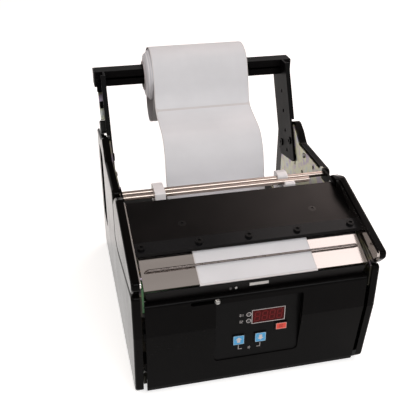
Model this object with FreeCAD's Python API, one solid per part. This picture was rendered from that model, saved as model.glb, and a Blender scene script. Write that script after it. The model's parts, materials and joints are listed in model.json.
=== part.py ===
import FreeCAD, Part
import math
import os

os.makedirs("parts", exist_ok=True)

# Driving sizes, in millimetres. X runs across, Y to the rear, Z up from the bench.
label_width = 100.0
outer_half = 106.0
cover_wall = 7.2
cover_inner = outer_half - cover_wall
chassis_sheet = 1.6
chassis_inner = cover_inner - chassis_sheet
front_y = -133.0
rear_y = 138.0
base_z = 2.5
kink_z = 73.0
toe_y = -124.2
toe_z = 9.0
side_top_z = 147.0
front_top_z = 116.0
hump_z = 162.5
hump_y = 74.0
plate_rear_y = 104.0
rear_low_z = 54.0
parting_gap = 2.0
running_gap = 0.05
body_gap = 0.4

pivot_y = -33.5
pivot_z = 143.5
pivot_pin_r = 2.5
cheek_arc_r = 46.0
cheek_rear_y = -15.5
cheek_inner = cover_inner + body_gap

lid_half = cover_inner - 0.8
lid_sheet = 2.0
lid_rear_y = -35.7
lid_rear_z = 145.9
fold_y = -90.1
fold_z = 138.0
strip_y = -101.4
strip_z = 134.4
strip_screw_x = (6.5 - lid_half, -43.0, 0.0, 43.0, lid_half - 6.5)
flush_screw_x = (-52.5, 65.5)

table_half = cover_inner - 3.8
table_sheet = 1.2
table_path = [(-26.5, 138.6), (-31.0, 140.2), (-36.0, 139.8), (-98.0, 131.0), (-129.8, 117.9)]
table_wall_drop = 12.0

panel_half = cover_inner - 3.2
panel_wall = 3.0
panel_top_z = 105.0
recess_x = 1.0
recess_half = 38.0
recess_low_z = 31.0
recess_high_z = 97.5
overlay_y = -126.0
overlay_sheet = 0.8

window_x = 11.0
window_z = 73.4
window_w = 28.6
window_h = 13.4
lamp_x = -6.5
lamp_z = (76.8, 69.8)
lamp_r = 1.5
blue_key_x = (-15.0, 4.6)
blue_key_z = 50.8
blue_key_size = 11.0
red_key_x = 23.0
red_key_z = 60.0
red_key_w = 11.0
red_key_h = 8.0
key_travel = 0.6

slot_x0 = -58.0
slot_x1 = -34.0
slot_z = 100.6
slot_h = 3.8

rod_r = 2.5
rear_rod_y = -14.7
front_rod_y = -22.2
rod_z = 144.0
front_rod_end_x = 80.0
guide_w = 9.6
guide_left_x = -63.7
guide_right_x = 55.4

drive_y = -98.0
drive_z = 106.0
drive_r = 10.0
drive_core_r = 6.0
drive_shaft_r = 4.0
pinch_r = 7.0
pinch_core_r = 4.5
pinch_shaft_r = 3.0
liner_sheet = 0.3
roller_half = 54.0
gear_module = 1.0
gear_teeth = 36
pinion_teeth = 18
gear_x = 70.0
gear_w = 8.0
motor_r = 16.0
motor_shaft_r = 3.0

arm_sheet = 2.0
arm_flange_w = 2.8
arm_lean = math.radians(26.6)
arm_front = -22.0
arm_rear = 21.2
arm_low_front = 107.7
arm_low_rear = 96.1
arm_hole_r = 2.0
arm_hole_first = 29.0
arm_hole_side = -2.7
arm_hole_pitch = 21.5
bar_y = 126.4
bar_z = 208.0
bar_side = 16.0
bar_half = outer_half - 1.5
bar_wall = 1.5
roll_r = 26.5
core_r = 15.0
core_bore_r = 12.8

V = FreeCAD.Vector
gear_distance = gear_module * (gear_teeth + pinion_teeth) / 2


# General shape makers
def box(x0, x1, y0, y1, z0, z1):
    """Box between two corners."""
    return Part.makeBox(x1 - x0, y1 - y0, z1 - z0, V(x0, y0, z0))


def rod_x(x0, x1, y, z, r):
    """Round bar along X."""
    return Part.makeCylinder(r, x1 - x0, V(x0, y, z), V(1, 0, 0))


def rod_y(y0, y1, x, z, r):
    """Round bar along Y."""
    return Part.makeCylinder(r, y1 - y0, V(x, y0, z), V(0, 1, 0))


def rod_z_axis(z0, z1, x, y, r):
    """Round bar along Z."""
    return Part.makeCylinder(r, z1 - z0, V(x, y, z0), V(0, 0, 1))


def corner(before, here, after):
    """Start, middle and end of the rounding at one corner (u, v, radius)."""
    radius = here[2] if len(here) > 2 else 0.0
    au, av = before[0] - here[0], before[1] - here[1]
    bu, bv = after[0] - here[0], after[1] - here[1]
    la, lb = math.hypot(au, av), math.hypot(bu, bv)
    au, av, bu, bv = au / la, av / la, bu / lb, bv / lb
    half = math.acos(max(-1.0, min(1.0, au * bu + av * bv))) / 2
    if radius <= 0.0 or half > math.radians(89.5):
        return [(here[0], here[1])]
    back = min(radius / math.tan(half), 0.48 * la, 0.48 * lb)
    true_r = back * math.tan(half)
    mu, mv = au + bu, av + bv
    lm = math.hypot(mu, mv)
    reach = true_r / math.sin(half) - true_r
    first = (here[0] + au * back, here[1] + av * back)
    middle = (here[0] + mu / lm * reach, here[1] + mv / lm * reach)
    last = (here[0] + bu * back, here[1] + bv * back)
    return [first, middle, last]


def slab(points, axis, low, high):
    """Closed outline with rounded corners, carried along one axis."""
    place = {"x": lambda u, v: V(low, u, v),
             "y": lambda u, v: V(u, low, v),
             "z": lambda u, v: V(u, v, low)}[axis]
    along = {"x": V(1, 0, 0), "y": V(0, 1, 0), "z": V(0, 0, 1)}[axis]
    count = len(points)
    corners = []
    for i in range(count):
        corners.append(corner(points[i - 1], points[i], points[(i + 1) % count]))
    edges = []
    for i in range(count):
        here, after = corners[i], corners[(i + 1) % count]
        if len(here) == 3:
            edges.append(Part.Arc(place(*here[0]), place(*here[1]), place(*here[2])).toShape())
        start, end = place(*here[-1]), place(*after[0])
        if start.distanceToPoint(end) > 1e-6:
            edges.append(Part.LineSegment(start, end).toShape())
    face = Part.Face(Part.Wire(edges))
    return face.extrude(along * (high - low))


def offset_path(path, distance):
    """Open path moved sideways, to its left for a positive distance."""
    moved = []
    for i, (u, v) in enumerate(path):
        u0, v0 = path[max(i - 1, 0)]
        u1, v1 = path[min(i + 1, len(path) - 1)]
        if 0 < i < len(path) - 1:
            a = math.atan2(v - v0, u - u0)
            b = math.atan2(v1 - v, u1 - u)
            turn = math.atan2(math.sin(b - a), math.cos(b - a))
            angle = a + turn / 2
            size = distance / math.cos(turn / 2)
        else:
            angle = math.atan2(v1 - v0, u1 - u0)
            size = distance
        moved.append((u - size * math.sin(angle), v + size * math.cos(angle)))
    return moved


def ribbon(path, low, high, x0, x1):
    """Sheet between two sideways distances from a path in the Y-Z plane."""
    near = offset_path(path, low)
    far = offset_path(path, high)
    return slab(near + far[::-1], "x", x0, x1)


def smooth(points, steps):
    """Points of the curve through all the given points (Catmull-Rom)."""
    full = [points[0]] + list(points) + [points[-1]]
    out = []
    for i in range(1, len(full) - 2):
        p0, p1, p2, p3 = full[i - 1:i + 3]
        for k in range(steps):
            t = k / steps
            out.append(tuple(
                0.5 * (2 * p1[n] + (p2[n] - p0[n]) * t
                       + (2 * p0[n] - 5 * p1[n] + 4 * p2[n] - p3[n]) * t * t
                       + (3 * p1[n] - p0[n] - 3 * p2[n] + p3[n]) * t * t * t)
                for n in (0, 1)))
    out.append(tuple(points[-1]))
    return out


def mirrored(shape):
    """The same shape on the other side of the middle plane."""
    return shape.mirror(V(0, 0, 0), V(1, 0, 0))


def rounded_edges(shape, radius, chosen):
    """Shape with the edges picked by a test rounded over."""
    edges = [e for e in shape.Edges if chosen(e)]
    return shape.makeFillet(radius, edges)


def socket_screw(tip, direction, head_r, head_h, shank_r, shank_l):
    """Cap screw whose head sits on the given point, with a hexagon socket."""
    d = V(*direction)
    base = V(*tip)
    head = Part.makeCylinder(head_r, head_h, base, d)
    shank = Part.makeCylinder(shank_r, shank_l, base, d * -1.0)
    hexagon = [V(head_r * 0.5 * math.cos(k * math.pi / 3), head_r * 0.5 * math.sin(k * math.pi / 3), 0)
               for k in range(7)]
    key = Part.Face(Part.makePolygon(hexagon)).extrude(V(0, 0, head_h))
    key.Placement = FreeCAD.Placement(base + d * (head_h * 0.4), FreeCAD.Rotation(V(0, 0, 1), d))
    return head.cut(key).fuse(shank)


def pan_screw(tip, direction, head_r, head_h, shank_r, shank_l):
    """Screw with a tapered head that sits on the given point and a straight slot across it."""
    d = V(*direction)
    base = V(*tip)
    head = Part.makeCone(head_r, head_r * 0.72, head_h, base, d)
    shank = Part.makeCylinder(shank_r, shank_l, base, d * -1.0)
    slot = Part.makeBox(head_r * 2.2, head_r * 0.28, head_h, V(-head_r * 1.1, -head_r * 0.14, 0))
    slot.Placement = FreeCAD.Placement(base + d * (head_h * 0.5), FreeCAD.Rotation(V(0, 0, 1), d))
    return head.cut(slot).fuse(shank)


def group(shapes):
    """Several separate solids kept in one node."""
    return Part.makeCompound(shapes)


def save(name, shape):
    """Write one node, after merging faces that lie in one plane."""
    solids = [s.removeSplitter() for s in shape.Solids]
    result = solids[0] if len(solids) == 1 else Part.makeCompound(solids)
    result.exportStep("parts/" + name + ".step")


# Fasteners and spacers of one kind are collected here and written at the end
small_screws = []
spacer_list = []

# Lines that several pieces share
def lid_top(y):
    """Height of the lid's upper face."""
    slope = (lid_rear_z - fold_z) / (lid_rear_y - fold_y)
    return fold_z + slope * (y - fold_y)


def panel_front(z):
    """Y of the front panel's outer face at one height."""
    face = front_y + 0.4
    if z >= kink_z:
        return face
    return face + (kink_z - z) * (toe_y - front_y) / (kink_z - toe_z)


def table_top(y):
    """Height of the label table's upper face."""
    points = sorted(table_path)
    for (y0, z0), (y1, z1) in zip(points, points[1:]):
        if y0 <= y <= y1:
            return z0 + (z1 - z0) * (y - y0) / (y1 - y0)
    return points[0][1]


def tangent_point(y, z, radius):
    """Where the line from a point under the lid touches the arc about the pivot."""
    reach = math.hypot(pivot_y - y, pivot_z - z)
    angle = math.atan2(pivot_z - z, pivot_y - y) - math.asin(radius / reach)
    length = math.sqrt(reach * reach - radius * radius)
    return (y + length * math.cos(angle), z + length * math.sin(angle))


# Side covers: glossy black mouldings over the chassis plates
socket_r = cheek_arc_r + parting_gap
socket_rear_y = cheek_rear_y + parting_gap
socket_start = tangent_point(front_y, front_top_z, socket_r)
cover_outline = [
    (toe_y + 6.0, base_z, 2.0),
    (toe_y, toe_z, 6.0),
    (front_y, kink_z, 10.0),
    (front_y, front_top_z, 4.0),
    socket_start,
    (socket_rear_y, pivot_z - math.sqrt(socket_r ** 2 - (socket_rear_y - pivot_y) ** 2)),
    (socket_rear_y, side_top_z, 5.0),
    (hump_y - 23.0, side_top_z, 5.0),
    (hump_y - 12.0, hump_z - 6.0, 8.0),
    (hump_y, hump_z, 6.0),
    (hump_y + 17.0, hump_z - 8.5, 25.0),
    (rear_y, side_top_z, 4.0),
    (rear_y, base_z, 3.0),
]
pocket_outline = [
    (80.0, 52.0, 8.0),
    (116.0, 52.0, 8.0),
    (116.0, 140.0, 8.0),
    (80.0, 140.0, 8.0),
]
pocket_depth = 3.5
edge_round = 2.5
arc_zone = box(cover_inner - 1.0, outer_half + 1.0, socket_start[0], socket_rear_y, 60.0, pivot_z)
cover = slab(cover_outline, "x", cover_inner, outer_half)
cover = cover.cut(rod_x(cover_inner - 1.0, outer_half + 1.0, pivot_y, pivot_z, socket_r).common(arc_zone))
cover = rounded_edges(cover, edge_round, lambda e: e.BoundBox.XMin > outer_half - 0.01)
cover = cover.cut(slab(pocket_outline, "x", outer_half - pocket_depth, outer_half + 1.0))
rib_y = plate_rear_y + 14.0
rib_top_z = 113.0
rear_wall = 2.5
cover = cover.cut(box(cover_inner - 1.0, outer_half - rear_wall, rib_y, rear_y + 1.0, rear_low_z, hump_z))
cover = cover.cut(box(cover_inner - 1.0, cover_inner + 1.7, plate_rear_y, rear_y + 1.0, rib_top_z, hump_z))

cover_screw_spots = [(-112.0, 20.0), (126.0, 16.0), (36.5, 139.5), (0.0, 16.0)]
cover_screw_r = 1.5
cover_screws = []
for y, z in cover_screw_spots:
    cover = cover.cut(rod_x(cover_inner - 1.0, cover_inner + 4.0, y, z, cover_screw_r))
    cover_screws.append(pan_screw((chassis_inner, y, z), (-1, 0, 0), 2.8, 1.6, cover_screw_r, 5.0))
save("side_cover_right", cover)
save("side_cover_left", mirrored(cover))
small_screws += cover_screws + [mirrored(s) for s in cover_screws]

# Chassis plates: zinc-plated sheet that carries every shaft, rod and arm
ear_front_y = pivot_y - 8.5
ear_top_z = rod_z + 4.6
plate_setback = 11.0
plate_nose_z = 90.0
chassis_outline = [
    (toe_y + plate_setback + 7.0, base_z + 1.0),
    (toe_y + plate_setback, toe_z + 6.0, 2.0),
    (front_y + plate_setback, kink_z, 4.0),
    (front_y + plate_setback, plate_nose_z, 2.0),
    (front_y + 1.8, plate_nose_z + 4.0, 1.0),
    (front_y + 1.8, front_top_z - 1.5, 1.0),
    (fold_y - 10.0, lid_top(fold_y) - 9.6, 4.0),
    (ear_front_y, lid_top(ear_front_y) - 7.5, 2.0),
    (ear_front_y, ear_top_z, 3.0),
    (rear_rod_y + 7.0, ear_top_z, 2.0),
    (rear_rod_y + 9.0, side_top_z - 2.5, 1.0),
    (hump_y - 21.5, side_top_z - 2.5, 3.0),
    (hump_y - 11.0, hump_z - 9.5, 4.0),
    (hump_y, hump_z - 3.5, 4.0),
    (hump_y + 17.0, hump_z - 11.5, 10.0),
    (plate_rear_y, hump_z - 13.8, 2.0),
    (plate_rear_y, rear_low_z, 3.0),
    (rear_y - 3.0, rear_low_z, 2.0),
    (rear_y - 3.0, base_z + 1.0),
]
liner_edge = (table_path[-1][0], table_path[-1][1] - 1.0)
reach = math.hypot(drive_y - liner_edge[0], drive_z - liner_edge[1])
liner_angle = math.atan2(drive_z - liner_edge[1], drive_y - liner_edge[0]) - math.asin(drive_r / reach)
nip_dir = (math.sin(liner_angle), -math.cos(liner_angle))
liner_slack = 0.05
pinch_distance = drive_r + pinch_r + liner_sheet + 2 * liner_slack
pinch_y = drive_y + nip_dir[0] * pinch_distance
pinch_z = drive_z + nip_dir[1] * pinch_distance
bush_wall = 2.5
arm_dir = (math.sin(arm_lean), math.cos(arm_lean))
arm_side = (math.cos(arm_lean), -math.sin(arm_lean))


def on_arm(along, across):
    """Point of an arm, measured down its middle line from the bar."""
    return (bar_y - arm_dir[0] * along + arm_side[0] * across,
            bar_z - arm_dir[1] * along + arm_side[1] * across)


arm_bolts_at = ((84.0, 13.0), (84.0, -14.0))
arm_bolt_r = 2.5
table_fix_y = (-112.0, -48.0)
table_fix_drop = 7.5
table_fix_r = 1.3
chassis = slab(chassis_outline, "x", chassis_inner, cover_inner)
plate_cuts = [
    rod_x(chassis_inner - 1, cover_inner + 1, rear_rod_y, rod_z, rod_r),
    rod_x(chassis_inner - 1, cover_inner + 1, pivot_y, pivot_z, pivot_pin_r),
    rod_x(chassis_inner - 1, cover_inner + 1, drive_y, drive_z, drive_shaft_r + bush_wall),
]
for y, z in cover_screw_spots:
    plate_cuts.append(rod_x(chassis_inner - 1, cover_inner + 1, y, z, cover_screw_r))
for along, across in arm_bolts_at:
    y, z = on_arm(along, across)
    plate_cuts.append(rod_x(chassis_inner - 1, cover_inner + 1, y, z, arm_bolt_r))
for y in table_fix_y:
    z = table_top(y) - table_fix_drop
    plate_cuts.append(rod_x(chassis_inner - 1, cover_inner + 1, y, z, table_fix_r))
for y, z in ((10.0, 138.5), (38.0, 120.0)):
    plate_cuts.append(rod_x(chassis_inner - 1, cover_inner + 1, y, z, 2.2))
plate_windows = ((hump_y - 14.0, side_top_z - 23.0, 12.0, 3.0), (-4.0, side_top_z - 35.0, 3.0, 14.0))
for y, z, height, width in plate_windows:
    window = [(y - width / 2, z - height / 2, 1.4), (y + width / 2, z - height / 2, 1.4),
              (y + width / 2, z + height / 2, 1.4), (y - width / 2, z + height / 2, 1.4)]
    plate_cuts.append(slab(window, "x", chassis_inner - 1, cover_inner + 1))
chassis_right = chassis
for tool in plate_cuts:
    chassis_right = chassis_right.cut(tool)
chassis_left = mirrored(chassis_right)
chassis_left = chassis_left.cut(rod_x(-cover_inner - 1, -chassis_inner + 1, front_rod_y, rod_z, rod_r))
chassis_left = chassis_left.cut(rod_x(-cover_inner - 1, -chassis_inner + 1, pinch_y, pinch_z,
                                      pinch_shaft_r + bush_wall))
save("chassis_plate_right", chassis_right)
save("chassis_plate_left", chassis_left)

# Bottom plate: steel tray with turned-up sides, screwed between the chassis plates
floor_sheet = 1.5
floor_z = base_z + 1.0
floor_front = toe_y + 12.0
floor_rear = rear_y - 5.0
tray = box(-chassis_inner, chassis_inner, floor_front, floor_rear, floor_z, floor_z + floor_sheet)
for side in (-1, 1):
    wall = box(chassis_inner - floor_sheet, chassis_inner, floor_front, floor_rear, floor_z, floor_z + 9.0)
    tray = tray.fuse(wall if side > 0 else mirrored(wall))
foot_x = chassis_inner - 15.2
foot_spots = [(x, y) for x in (-foot_x, foot_x) for y in (-98.0, 118.0)]
foot_screw_r = 1.5
for x, y in foot_spots:
    tray = tray.cut(rod_z_axis(floor_z - 1, floor_z + 5, x, y, foot_screw_r))
vent_count = 9
vent_pitch = 7.0
for k in range(vent_count):
    x = (k - (vent_count - 1) / 2) * vent_pitch
    tray = tray.cut(box(x - 1.5, x + 1.5, 20.0, 60.0, floor_z - 1, floor_z + 5))
tray_screws = []
for y in (-80.0, 20.0, 110.0):
    z = floor_z + 6.0
    hole = rod_x(chassis_inner - 4, chassis_inner + 1, y, z, 1.3)
    tray = tray.cut(hole).cut(mirrored(hole))
    tray_screws.append(pan_screw((chassis_inner - floor_sheet, y, z), (-1, 0, 0), 2.6, 1.4, 1.3, floor_sheet))
save("bottom_plate", tray)
small_screws += tray_screws + [mirrored(s) for s in tray_screws]

# Rubber feet, each held by its own screw
foot_r = 8.0
feet = []
for x, y in foot_spots:
    foot = Part.makeCone(foot_r - 1.0, foot_r, floor_z, V(x, y, 0), V(0, 0, 1))
    foot = foot.cut(rod_z_axis(-1, 1.6, x, y, 3.4)).cut(rod_z_axis(0, 5, x, y, foot_screw_r))
    feet.append(foot)
save("rubber_feet", group(feet))
foot_screw_l = floor_z + floor_sheet - 1.6
for x, y in foot_spots:
    small_screws.append(pan_screw((x, y, 1.6), (0, 0, -1), 3.0, 1.2, foot_screw_r, foot_screw_l))

# Rear panel: painted steel sheet with the power inlet, the switch and the liner slot
rear_sheet = 1.5
rear_panel_y = rear_y - 3.0 - rear_sheet
rear_panel_top = rear_low_z
liner_slot_z = 34.0
liner_slot_h = 7.0
jack_x = -71.0
jack_z = 34.0
jack_r = 5.0
switch_x = 72.0
switch_z = 34.0
switch_w = 13.0
switch_h = 19.0
rear = box(-chassis_inner, chassis_inner, rear_panel_y, rear_panel_y + rear_sheet,
           floor_z + floor_sheet, rear_panel_top)
rear = rear.fuse(box(-chassis_inner, chassis_inner, rear_panel_y - 9.0, rear_panel_y,
                     rear_panel_top - rear_sheet, rear_panel_top))
foot_half = chassis_inner - 7.2
rear = rear.fuse(box(-foot_half, foot_half, rear_panel_y - 8.0, rear_panel_y,
                     floor_z + floor_sheet, floor_z + 2 * floor_sheet))
slot_outline = [(-label_width / 2 - 8, liner_slot_z - liner_slot_h / 2, 3.0),
                (label_width / 2 + 8, liner_slot_z - liner_slot_h / 2, 3.0),
                (label_width / 2 + 8, liner_slot_z + liner_slot_h / 2, 3.0),
                (-label_width / 2 - 8, liner_slot_z + liner_slot_h / 2, 3.0)]
rear = rear.cut(slab(slot_outline, "y", rear_panel_y - 1, rear_panel_y + 3))
rear = rear.cut(rod_y(rear_panel_y - 1, rear_panel_y + 3, jack_x, jack_z, jack_r))
rear = rear.cut(box(switch_x - switch_w / 2, switch_x + switch_w / 2, rear_panel_y - 1, rear_panel_y + 3,
                    switch_z - switch_h / 2, switch_z + switch_h / 2))
for row in range(2):
    for k in range(8):
        rear = rear.cut(rod_y(rear_panel_y - 1, rear_panel_y + 3, (k - 3.5) * 9.0, 13.5 + row * 8.0, 2.0))
rear_screws = []
for x in (-80.0, 80.0):
    rear = rear.cut(rod_z_axis(floor_z, floor_z + 6, x, rear_panel_y - 4.5, 1.3))
    rear_screws.append(pan_screw((x, rear_panel_y - 4.5, floor_z + 2 * floor_sheet), (0, 0, 1),
                                 2.6, 1.4, 1.3, floor_sheet))
save("rear_panel", rear)
small_screws += rear_screws

# Power inlet and rocker switch in the rear panel
jack_face = rear_panel_y + rear_sheet
jack = rod_y(rear_panel_y - 12.0, jack_face + 1.5, jack_x, jack_z, jack_r)
jack = jack.fuse(rod_y(jack_face, jack_face + 1.5, jack_x, jack_z, jack_r + 2.0))
jack = jack.cut(rod_y(rear_panel_y - 8.0, rear_panel_y + 6.0, jack_x, jack_z, 3.0))
jack_pin = rod_y(rear_panel_y - 8.0, rear_panel_y + 1.0, jack_x, jack_z, 1.0)
save("power_inlet", group([jack, jack_pin]))

rocker_pivot_y = rear_panel_y - 1.0
frame_depth = 11.0
switch_frame = box(switch_x - switch_w / 2, switch_x + switch_w / 2, rear_panel_y - frame_depth,
                   rear_panel_y + rear_sheet, switch_z - switch_h / 2, switch_z + switch_h / 2)
switch_frame = switch_frame.fuse(box(switch_x - switch_w / 2 - 1, switch_x + switch_w / 2 + 1,
                                     rear_panel_y + rear_sheet, rear_panel_y + rear_sheet + 1.4,
                                     switch_z - switch_h / 2 - 1, switch_z + switch_h / 2 + 1))
switch_frame = switch_frame.cut(box(switch_x - switch_w / 2 + 1.5, switch_x + switch_w / 2 - 1.5,
                                    rear_panel_y - frame_depth + 1.5, rear_panel_y + 6,
                                    switch_z - switch_h / 2 + 1.5, switch_z + switch_h / 2 - 1.5))
rocker_half = switch_h / 2 - 2.6
rocker = slab([(rocker_pivot_y - 4.0, switch_z - 5.0, 1.0),
               (rocker_pivot_y + 3.2, switch_z - rocker_half, 1.0),
               (rocker_pivot_y + 2.4, switch_z),
               (rocker_pivot_y + 6.2, switch_z + rocker_half, 1.0),
               (rocker_pivot_y - 2.0, switch_z + 5.5, 1.0)],
              "x", switch_x - switch_w / 2 + 2.0, switch_x + switch_w / 2 - 2.0)
trunnion_r = 1.0
pin_half = switch_w / 2 - 0.8
trunnion = rod_x(switch_x - pin_half, switch_x + pin_half, rocker_pivot_y, switch_z, trunnion_r)
switch_frame = switch_frame.cut(rod_x(switch_x - pin_half - 0.2, switch_x + pin_half + 0.2,
                                      rocker_pivot_y, switch_z, trunnion_r + running_gap))
save("power_switch_frame", switch_frame)
save("power_rocker", rocker.fuse(trunnion))

# Front panel: glossy black moulding with the deep recess for the controls
panel_inner_low = panel_front(toe_z) + panel_wall
panel_outline = [
    (panel_inner_low, base_z + 2.0),
    (panel_front(toe_z) + 1.2, base_z + 2.0, 1.5),
    (panel_front(toe_z), toe_z, 4.0),
    (panel_front(kink_z), kink_z, 12.0),
    (panel_front(kink_z), panel_top_z, 4.0),
    (panel_front(kink_z) + 7.0, panel_top_z, 1.0),
    (panel_front(kink_z) + 7.0, panel_top_z - 2.2),
    (panel_front(kink_z) + panel_wall, panel_top_z - 2.2, 1.0),
    (panel_front(kink_z) + panel_wall, kink_z, 12.0),
    (panel_inner_low, toe_z, 4.0),
]
tub_wall = 1.6
tub_back = overlay_y + overlay_sheet + tub_wall
panel = slab(panel_outline, "x", -panel_half, panel_half)
tub = box(recess_x - recess_half - tub_wall, recess_x + recess_half + tub_wall,
          panel_front(kink_z) + 1.0, tub_back, recess_low_z - tub_wall, recess_high_z + tub_wall)
panel = panel.fuse(tub.cut(box(-200, 200, -200, panel_front(recess_low_z) + 0.8, 0, kink_z - 8.0)))
recess_outline = [
    (recess_x - recess_half, recess_low_z, 4.0),
    (recess_x + recess_half, recess_low_z, 4.0),
    (recess_x + recess_half, recess_high_z, 2.0),
    (recess_x - recess_half, recess_high_z, 2.0),
]
panel = panel.cut(slab(recess_outline, "y", front_y - 5, overlay_y + overlay_sheet))

# Openings behind the overlay for the display, the lamps and the keys
key_list = [("key_up", blue_key_x[0], blue_key_z, blue_key_size, blue_key_size),
            ("key_down", blue_key_x[1], blue_key_z, blue_key_size, blue_key_size),
            ("key_reset", red_key_x, red_key_z, red_key_w, red_key_h)]
key_clear = 0.4


def rect(x, z, w, h, r):
    """Corner list of an upright rectangle about its middle."""
    return [(x + sx * w / 2, z + sz * h / 2, r) for sx, sz in ((-1, -1), (1, -1), (1, 1), (-1, 1))]


behind = []
for name, x, z, w, h in key_list:
    key_hole = rect(x, z, w + 2 * key_clear, h + 2 * key_clear, 1.8)
    behind.append(slab(key_hole, "y", overlay_y - 1, tub_back + 1))
for z in lamp_z:
    behind.append(rod_y(overlay_y - 1, tub_back + 1, lamp_x, z, lamp_r + 0.2))
display_hole = slab(rect(window_x, window_z, window_w - 2.0, window_h - 2.0, 0.5),
                    "y", overlay_y - 1, tub_back + 1)
for tool in behind + [display_hole]:
    panel = panel.cut(tool)
sensor_slot = slab(rect((slot_x0 + slot_x1) / 2, slot_z, slot_x1 - slot_x0, slot_h, slot_h / 2.02), "y",
                   front_y - 2, tub_back + 1)
panel = panel.cut(sensor_slot)
panel_boss_z = (34.0, 71.0)
boss_depth = 16.0
boss_screws = []
for z in panel_boss_z:
    y0 = panel_front(z) + panel_wall - 0.6
    boss = box(panel_half - 7.0, chassis_inner, y0, y0 + boss_depth, z - 4.0, z + 4.0)
    hole = rod_x(panel_half - 7.0, chassis_inner + 3.0, y0 + boss_depth - 4.0, z, 1.3)
    for side in (-1, 1):
        panel = panel.fuse(boss if side > 0 else mirrored(boss))
        panel = panel.cut(hole if side > 0 else mirrored(hole))
    boss_screws.append((y0 + boss_depth - 4.0, z))
save("front_panel", panel)
save("membrane_overlay",
     slab(recess_outline, "y", overlay_y, overlay_y + overlay_sheet)
     .cut(slab(rect(window_x, window_z, window_w, window_h, 0.8), "y", overlay_y - 1, overlay_y + 2))
     .cut(Part.makeCompound(behind)))

# Red window with the digit module behind it, stood on the control board
board_y = tub_back + 5.0
board_sheet = 1.6
board_low_z = 34.0
board_high_z = 84.0
module_front = overlay_y + overlay_sheet
save("display_window", slab(rect(window_x, window_z, window_w, window_h, 0.8), "y",
                            overlay_y, overlay_y + overlay_sheet))
module_w = window_w - 3.0
module_h = window_h - 3.0
save("display_module", box(window_x - module_w / 2, window_x + module_w / 2, module_front, board_y,
                           window_z - module_h / 2, window_z + module_h / 2))
save("indicator_lamps", group([rod_y(overlay_y - 0.4, board_y, lamp_x, z, lamp_r) for z in lamp_z]))

# Keys: caps that stand proud of the overlay, each with a retaining rim behind the panel
cap_lift = 0.9
rim_gap = 0.4
rim_sheet = 1.0
rim_over = 1.0
switch_side = 6.0
switches = []
for name, x, z, w, h in key_list:
    cap = slab(rect(x, z, w, h, 1.5), "y", overlay_y - cap_lift, tub_back + rim_gap)
    rim = slab(rect(x, z, w + 2 * rim_over, h + 2 * rim_over, 1.5), "y",
               tub_back + rim_gap, tub_back + rim_gap + rim_sheet)
    save(name, cap.fuse(rim))
    switch_top = tub_back + rim_gap + rim_sheet + key_travel + 0.4
    switches.append(box(x - switch_side / 2, x + switch_side / 2, switch_top, board_y,
                        z - switch_side / 2, z + switch_side / 2))

# Control board on four posts behind the panel
post_r = 2.2
post_rows = (board_low_z + 3.5, board_high_z - 3.5)
post_spots = [(x, z) for x in (recess_x - 32.0, recess_x + 34.0) for z in post_rows]
posts = []
board = box(recess_x - 36.0, recess_x + 38.0, board_y, board_y + board_sheet, board_low_z, board_high_z)
board_screws = []
for x, z in post_spots:
    posts.append(rod_y(tub_back, board_y, x, z, post_r).cut(rod_y(tub_back, board_y, x, z, 1.0)))
    board = board.cut(rod_y(board_y - 1, board_y + 3, x, z, 1.0))
    board_screws.append(pan_screw((x, board_y + board_sheet, z), (0, 1, 0), 2.0, 1.2, 1.0, board_sheet + 4.0))
save("control_board", board)
small_screws += board_screws
spacer_list += posts

# Screws that hold the front panel's bosses to the chassis plates
boss_screw_l = chassis_inner - panel_half + 7.0
side_screws = [pan_screw((panel_half - 7.0, y, z), (-1, 0, 0), 2.4, 1.4, 1.3, boss_screw_l)
               for y, z in boss_screws]
small_screws += side_screws + [mirrored(s) for s in side_screws]

# Label table: polished stainless sheet, bent down at the front, with side walls
table = ribbon(table_path, 0.0, table_sheet, -table_half, table_half)
wall_path = table_path[2:]
wall = ribbon(wall_path, table_sheet * 0.5, table_wall_drop, table_half - table_sheet, table_half)
table = table.fuse(wall).fuse(mirrored(wall))
wire_r = 0.9
wire_y = -114.0
wire_z = table_top(wire_y) + 2.0
wire_half = table_half - 3.5
wire_bend = 3.0
for x in (-wire_half, wire_half):
    table = table.cut(rod_z_axis(wire_z - 8.0, wire_z, x, wire_y, wire_r))
spacers = []
table_screws = []
for y in table_fix_y:
    z = table_top(y) - table_fix_drop
    tool = rod_x(table_half - 3.0, table_half + 1.0, y, z, table_fix_r)
    table = table.cut(tool).cut(mirrored(tool))
    ring = rod_x(table_half, chassis_inner, y, z, 3.2)
    spacers.append(ring.cut(rod_x(table_half - 1, chassis_inner + 1, y, z, table_fix_r)))
    table_screws.append(pan_screw((table_half - table_sheet, y, z), (-1, 0, 0), 2.4, 1.4, table_fix_r,
                                  cover_inner - table_half + table_sheet))
save("label_table", table)
spacer_list += spacers + [mirrored(s) for s in spacers]
small_screws += table_screws + [mirrored(s) for s in table_screws]

# Hold-down wire: stainless rod bent down through the table at both ends
turn = wire_bend * (1 - math.sqrt(0.5))


def wire_at(x, drop):
    """Point of the wire's middle line, a drop below its top run."""
    return V(x, wire_y, wire_z - drop)


bend_x = wire_half - wire_bend
wire_edges = [
    Part.LineSegment(wire_at(-wire_half, 6.0), wire_at(-wire_half, wire_bend)).toShape(),
    Part.Arc(wire_at(-wire_half, wire_bend), wire_at(turn - wire_half, turn),
             wire_at(-bend_x, 0.0)).toShape(),
    Part.LineSegment(wire_at(-bend_x, 0.0), wire_at(bend_x, 0.0)).toShape(),
    Part.Arc(wire_at(bend_x, 0.0), wire_at(wire_half - turn, turn), wire_at(wire_half, wire_bend)).toShape(),
    Part.LineSegment(wire_at(wire_half, wire_bend), wire_at(wire_half, 6.0)).toShape(),
]
wire_start = Part.Wire([Part.makeCircle(wire_r, wire_at(-wire_half, 6.0), V(0, 0, 1))])
save("hold_down_wire", Part.Wire(wire_edges).makePipeShell([wire_start], True, False))

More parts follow.
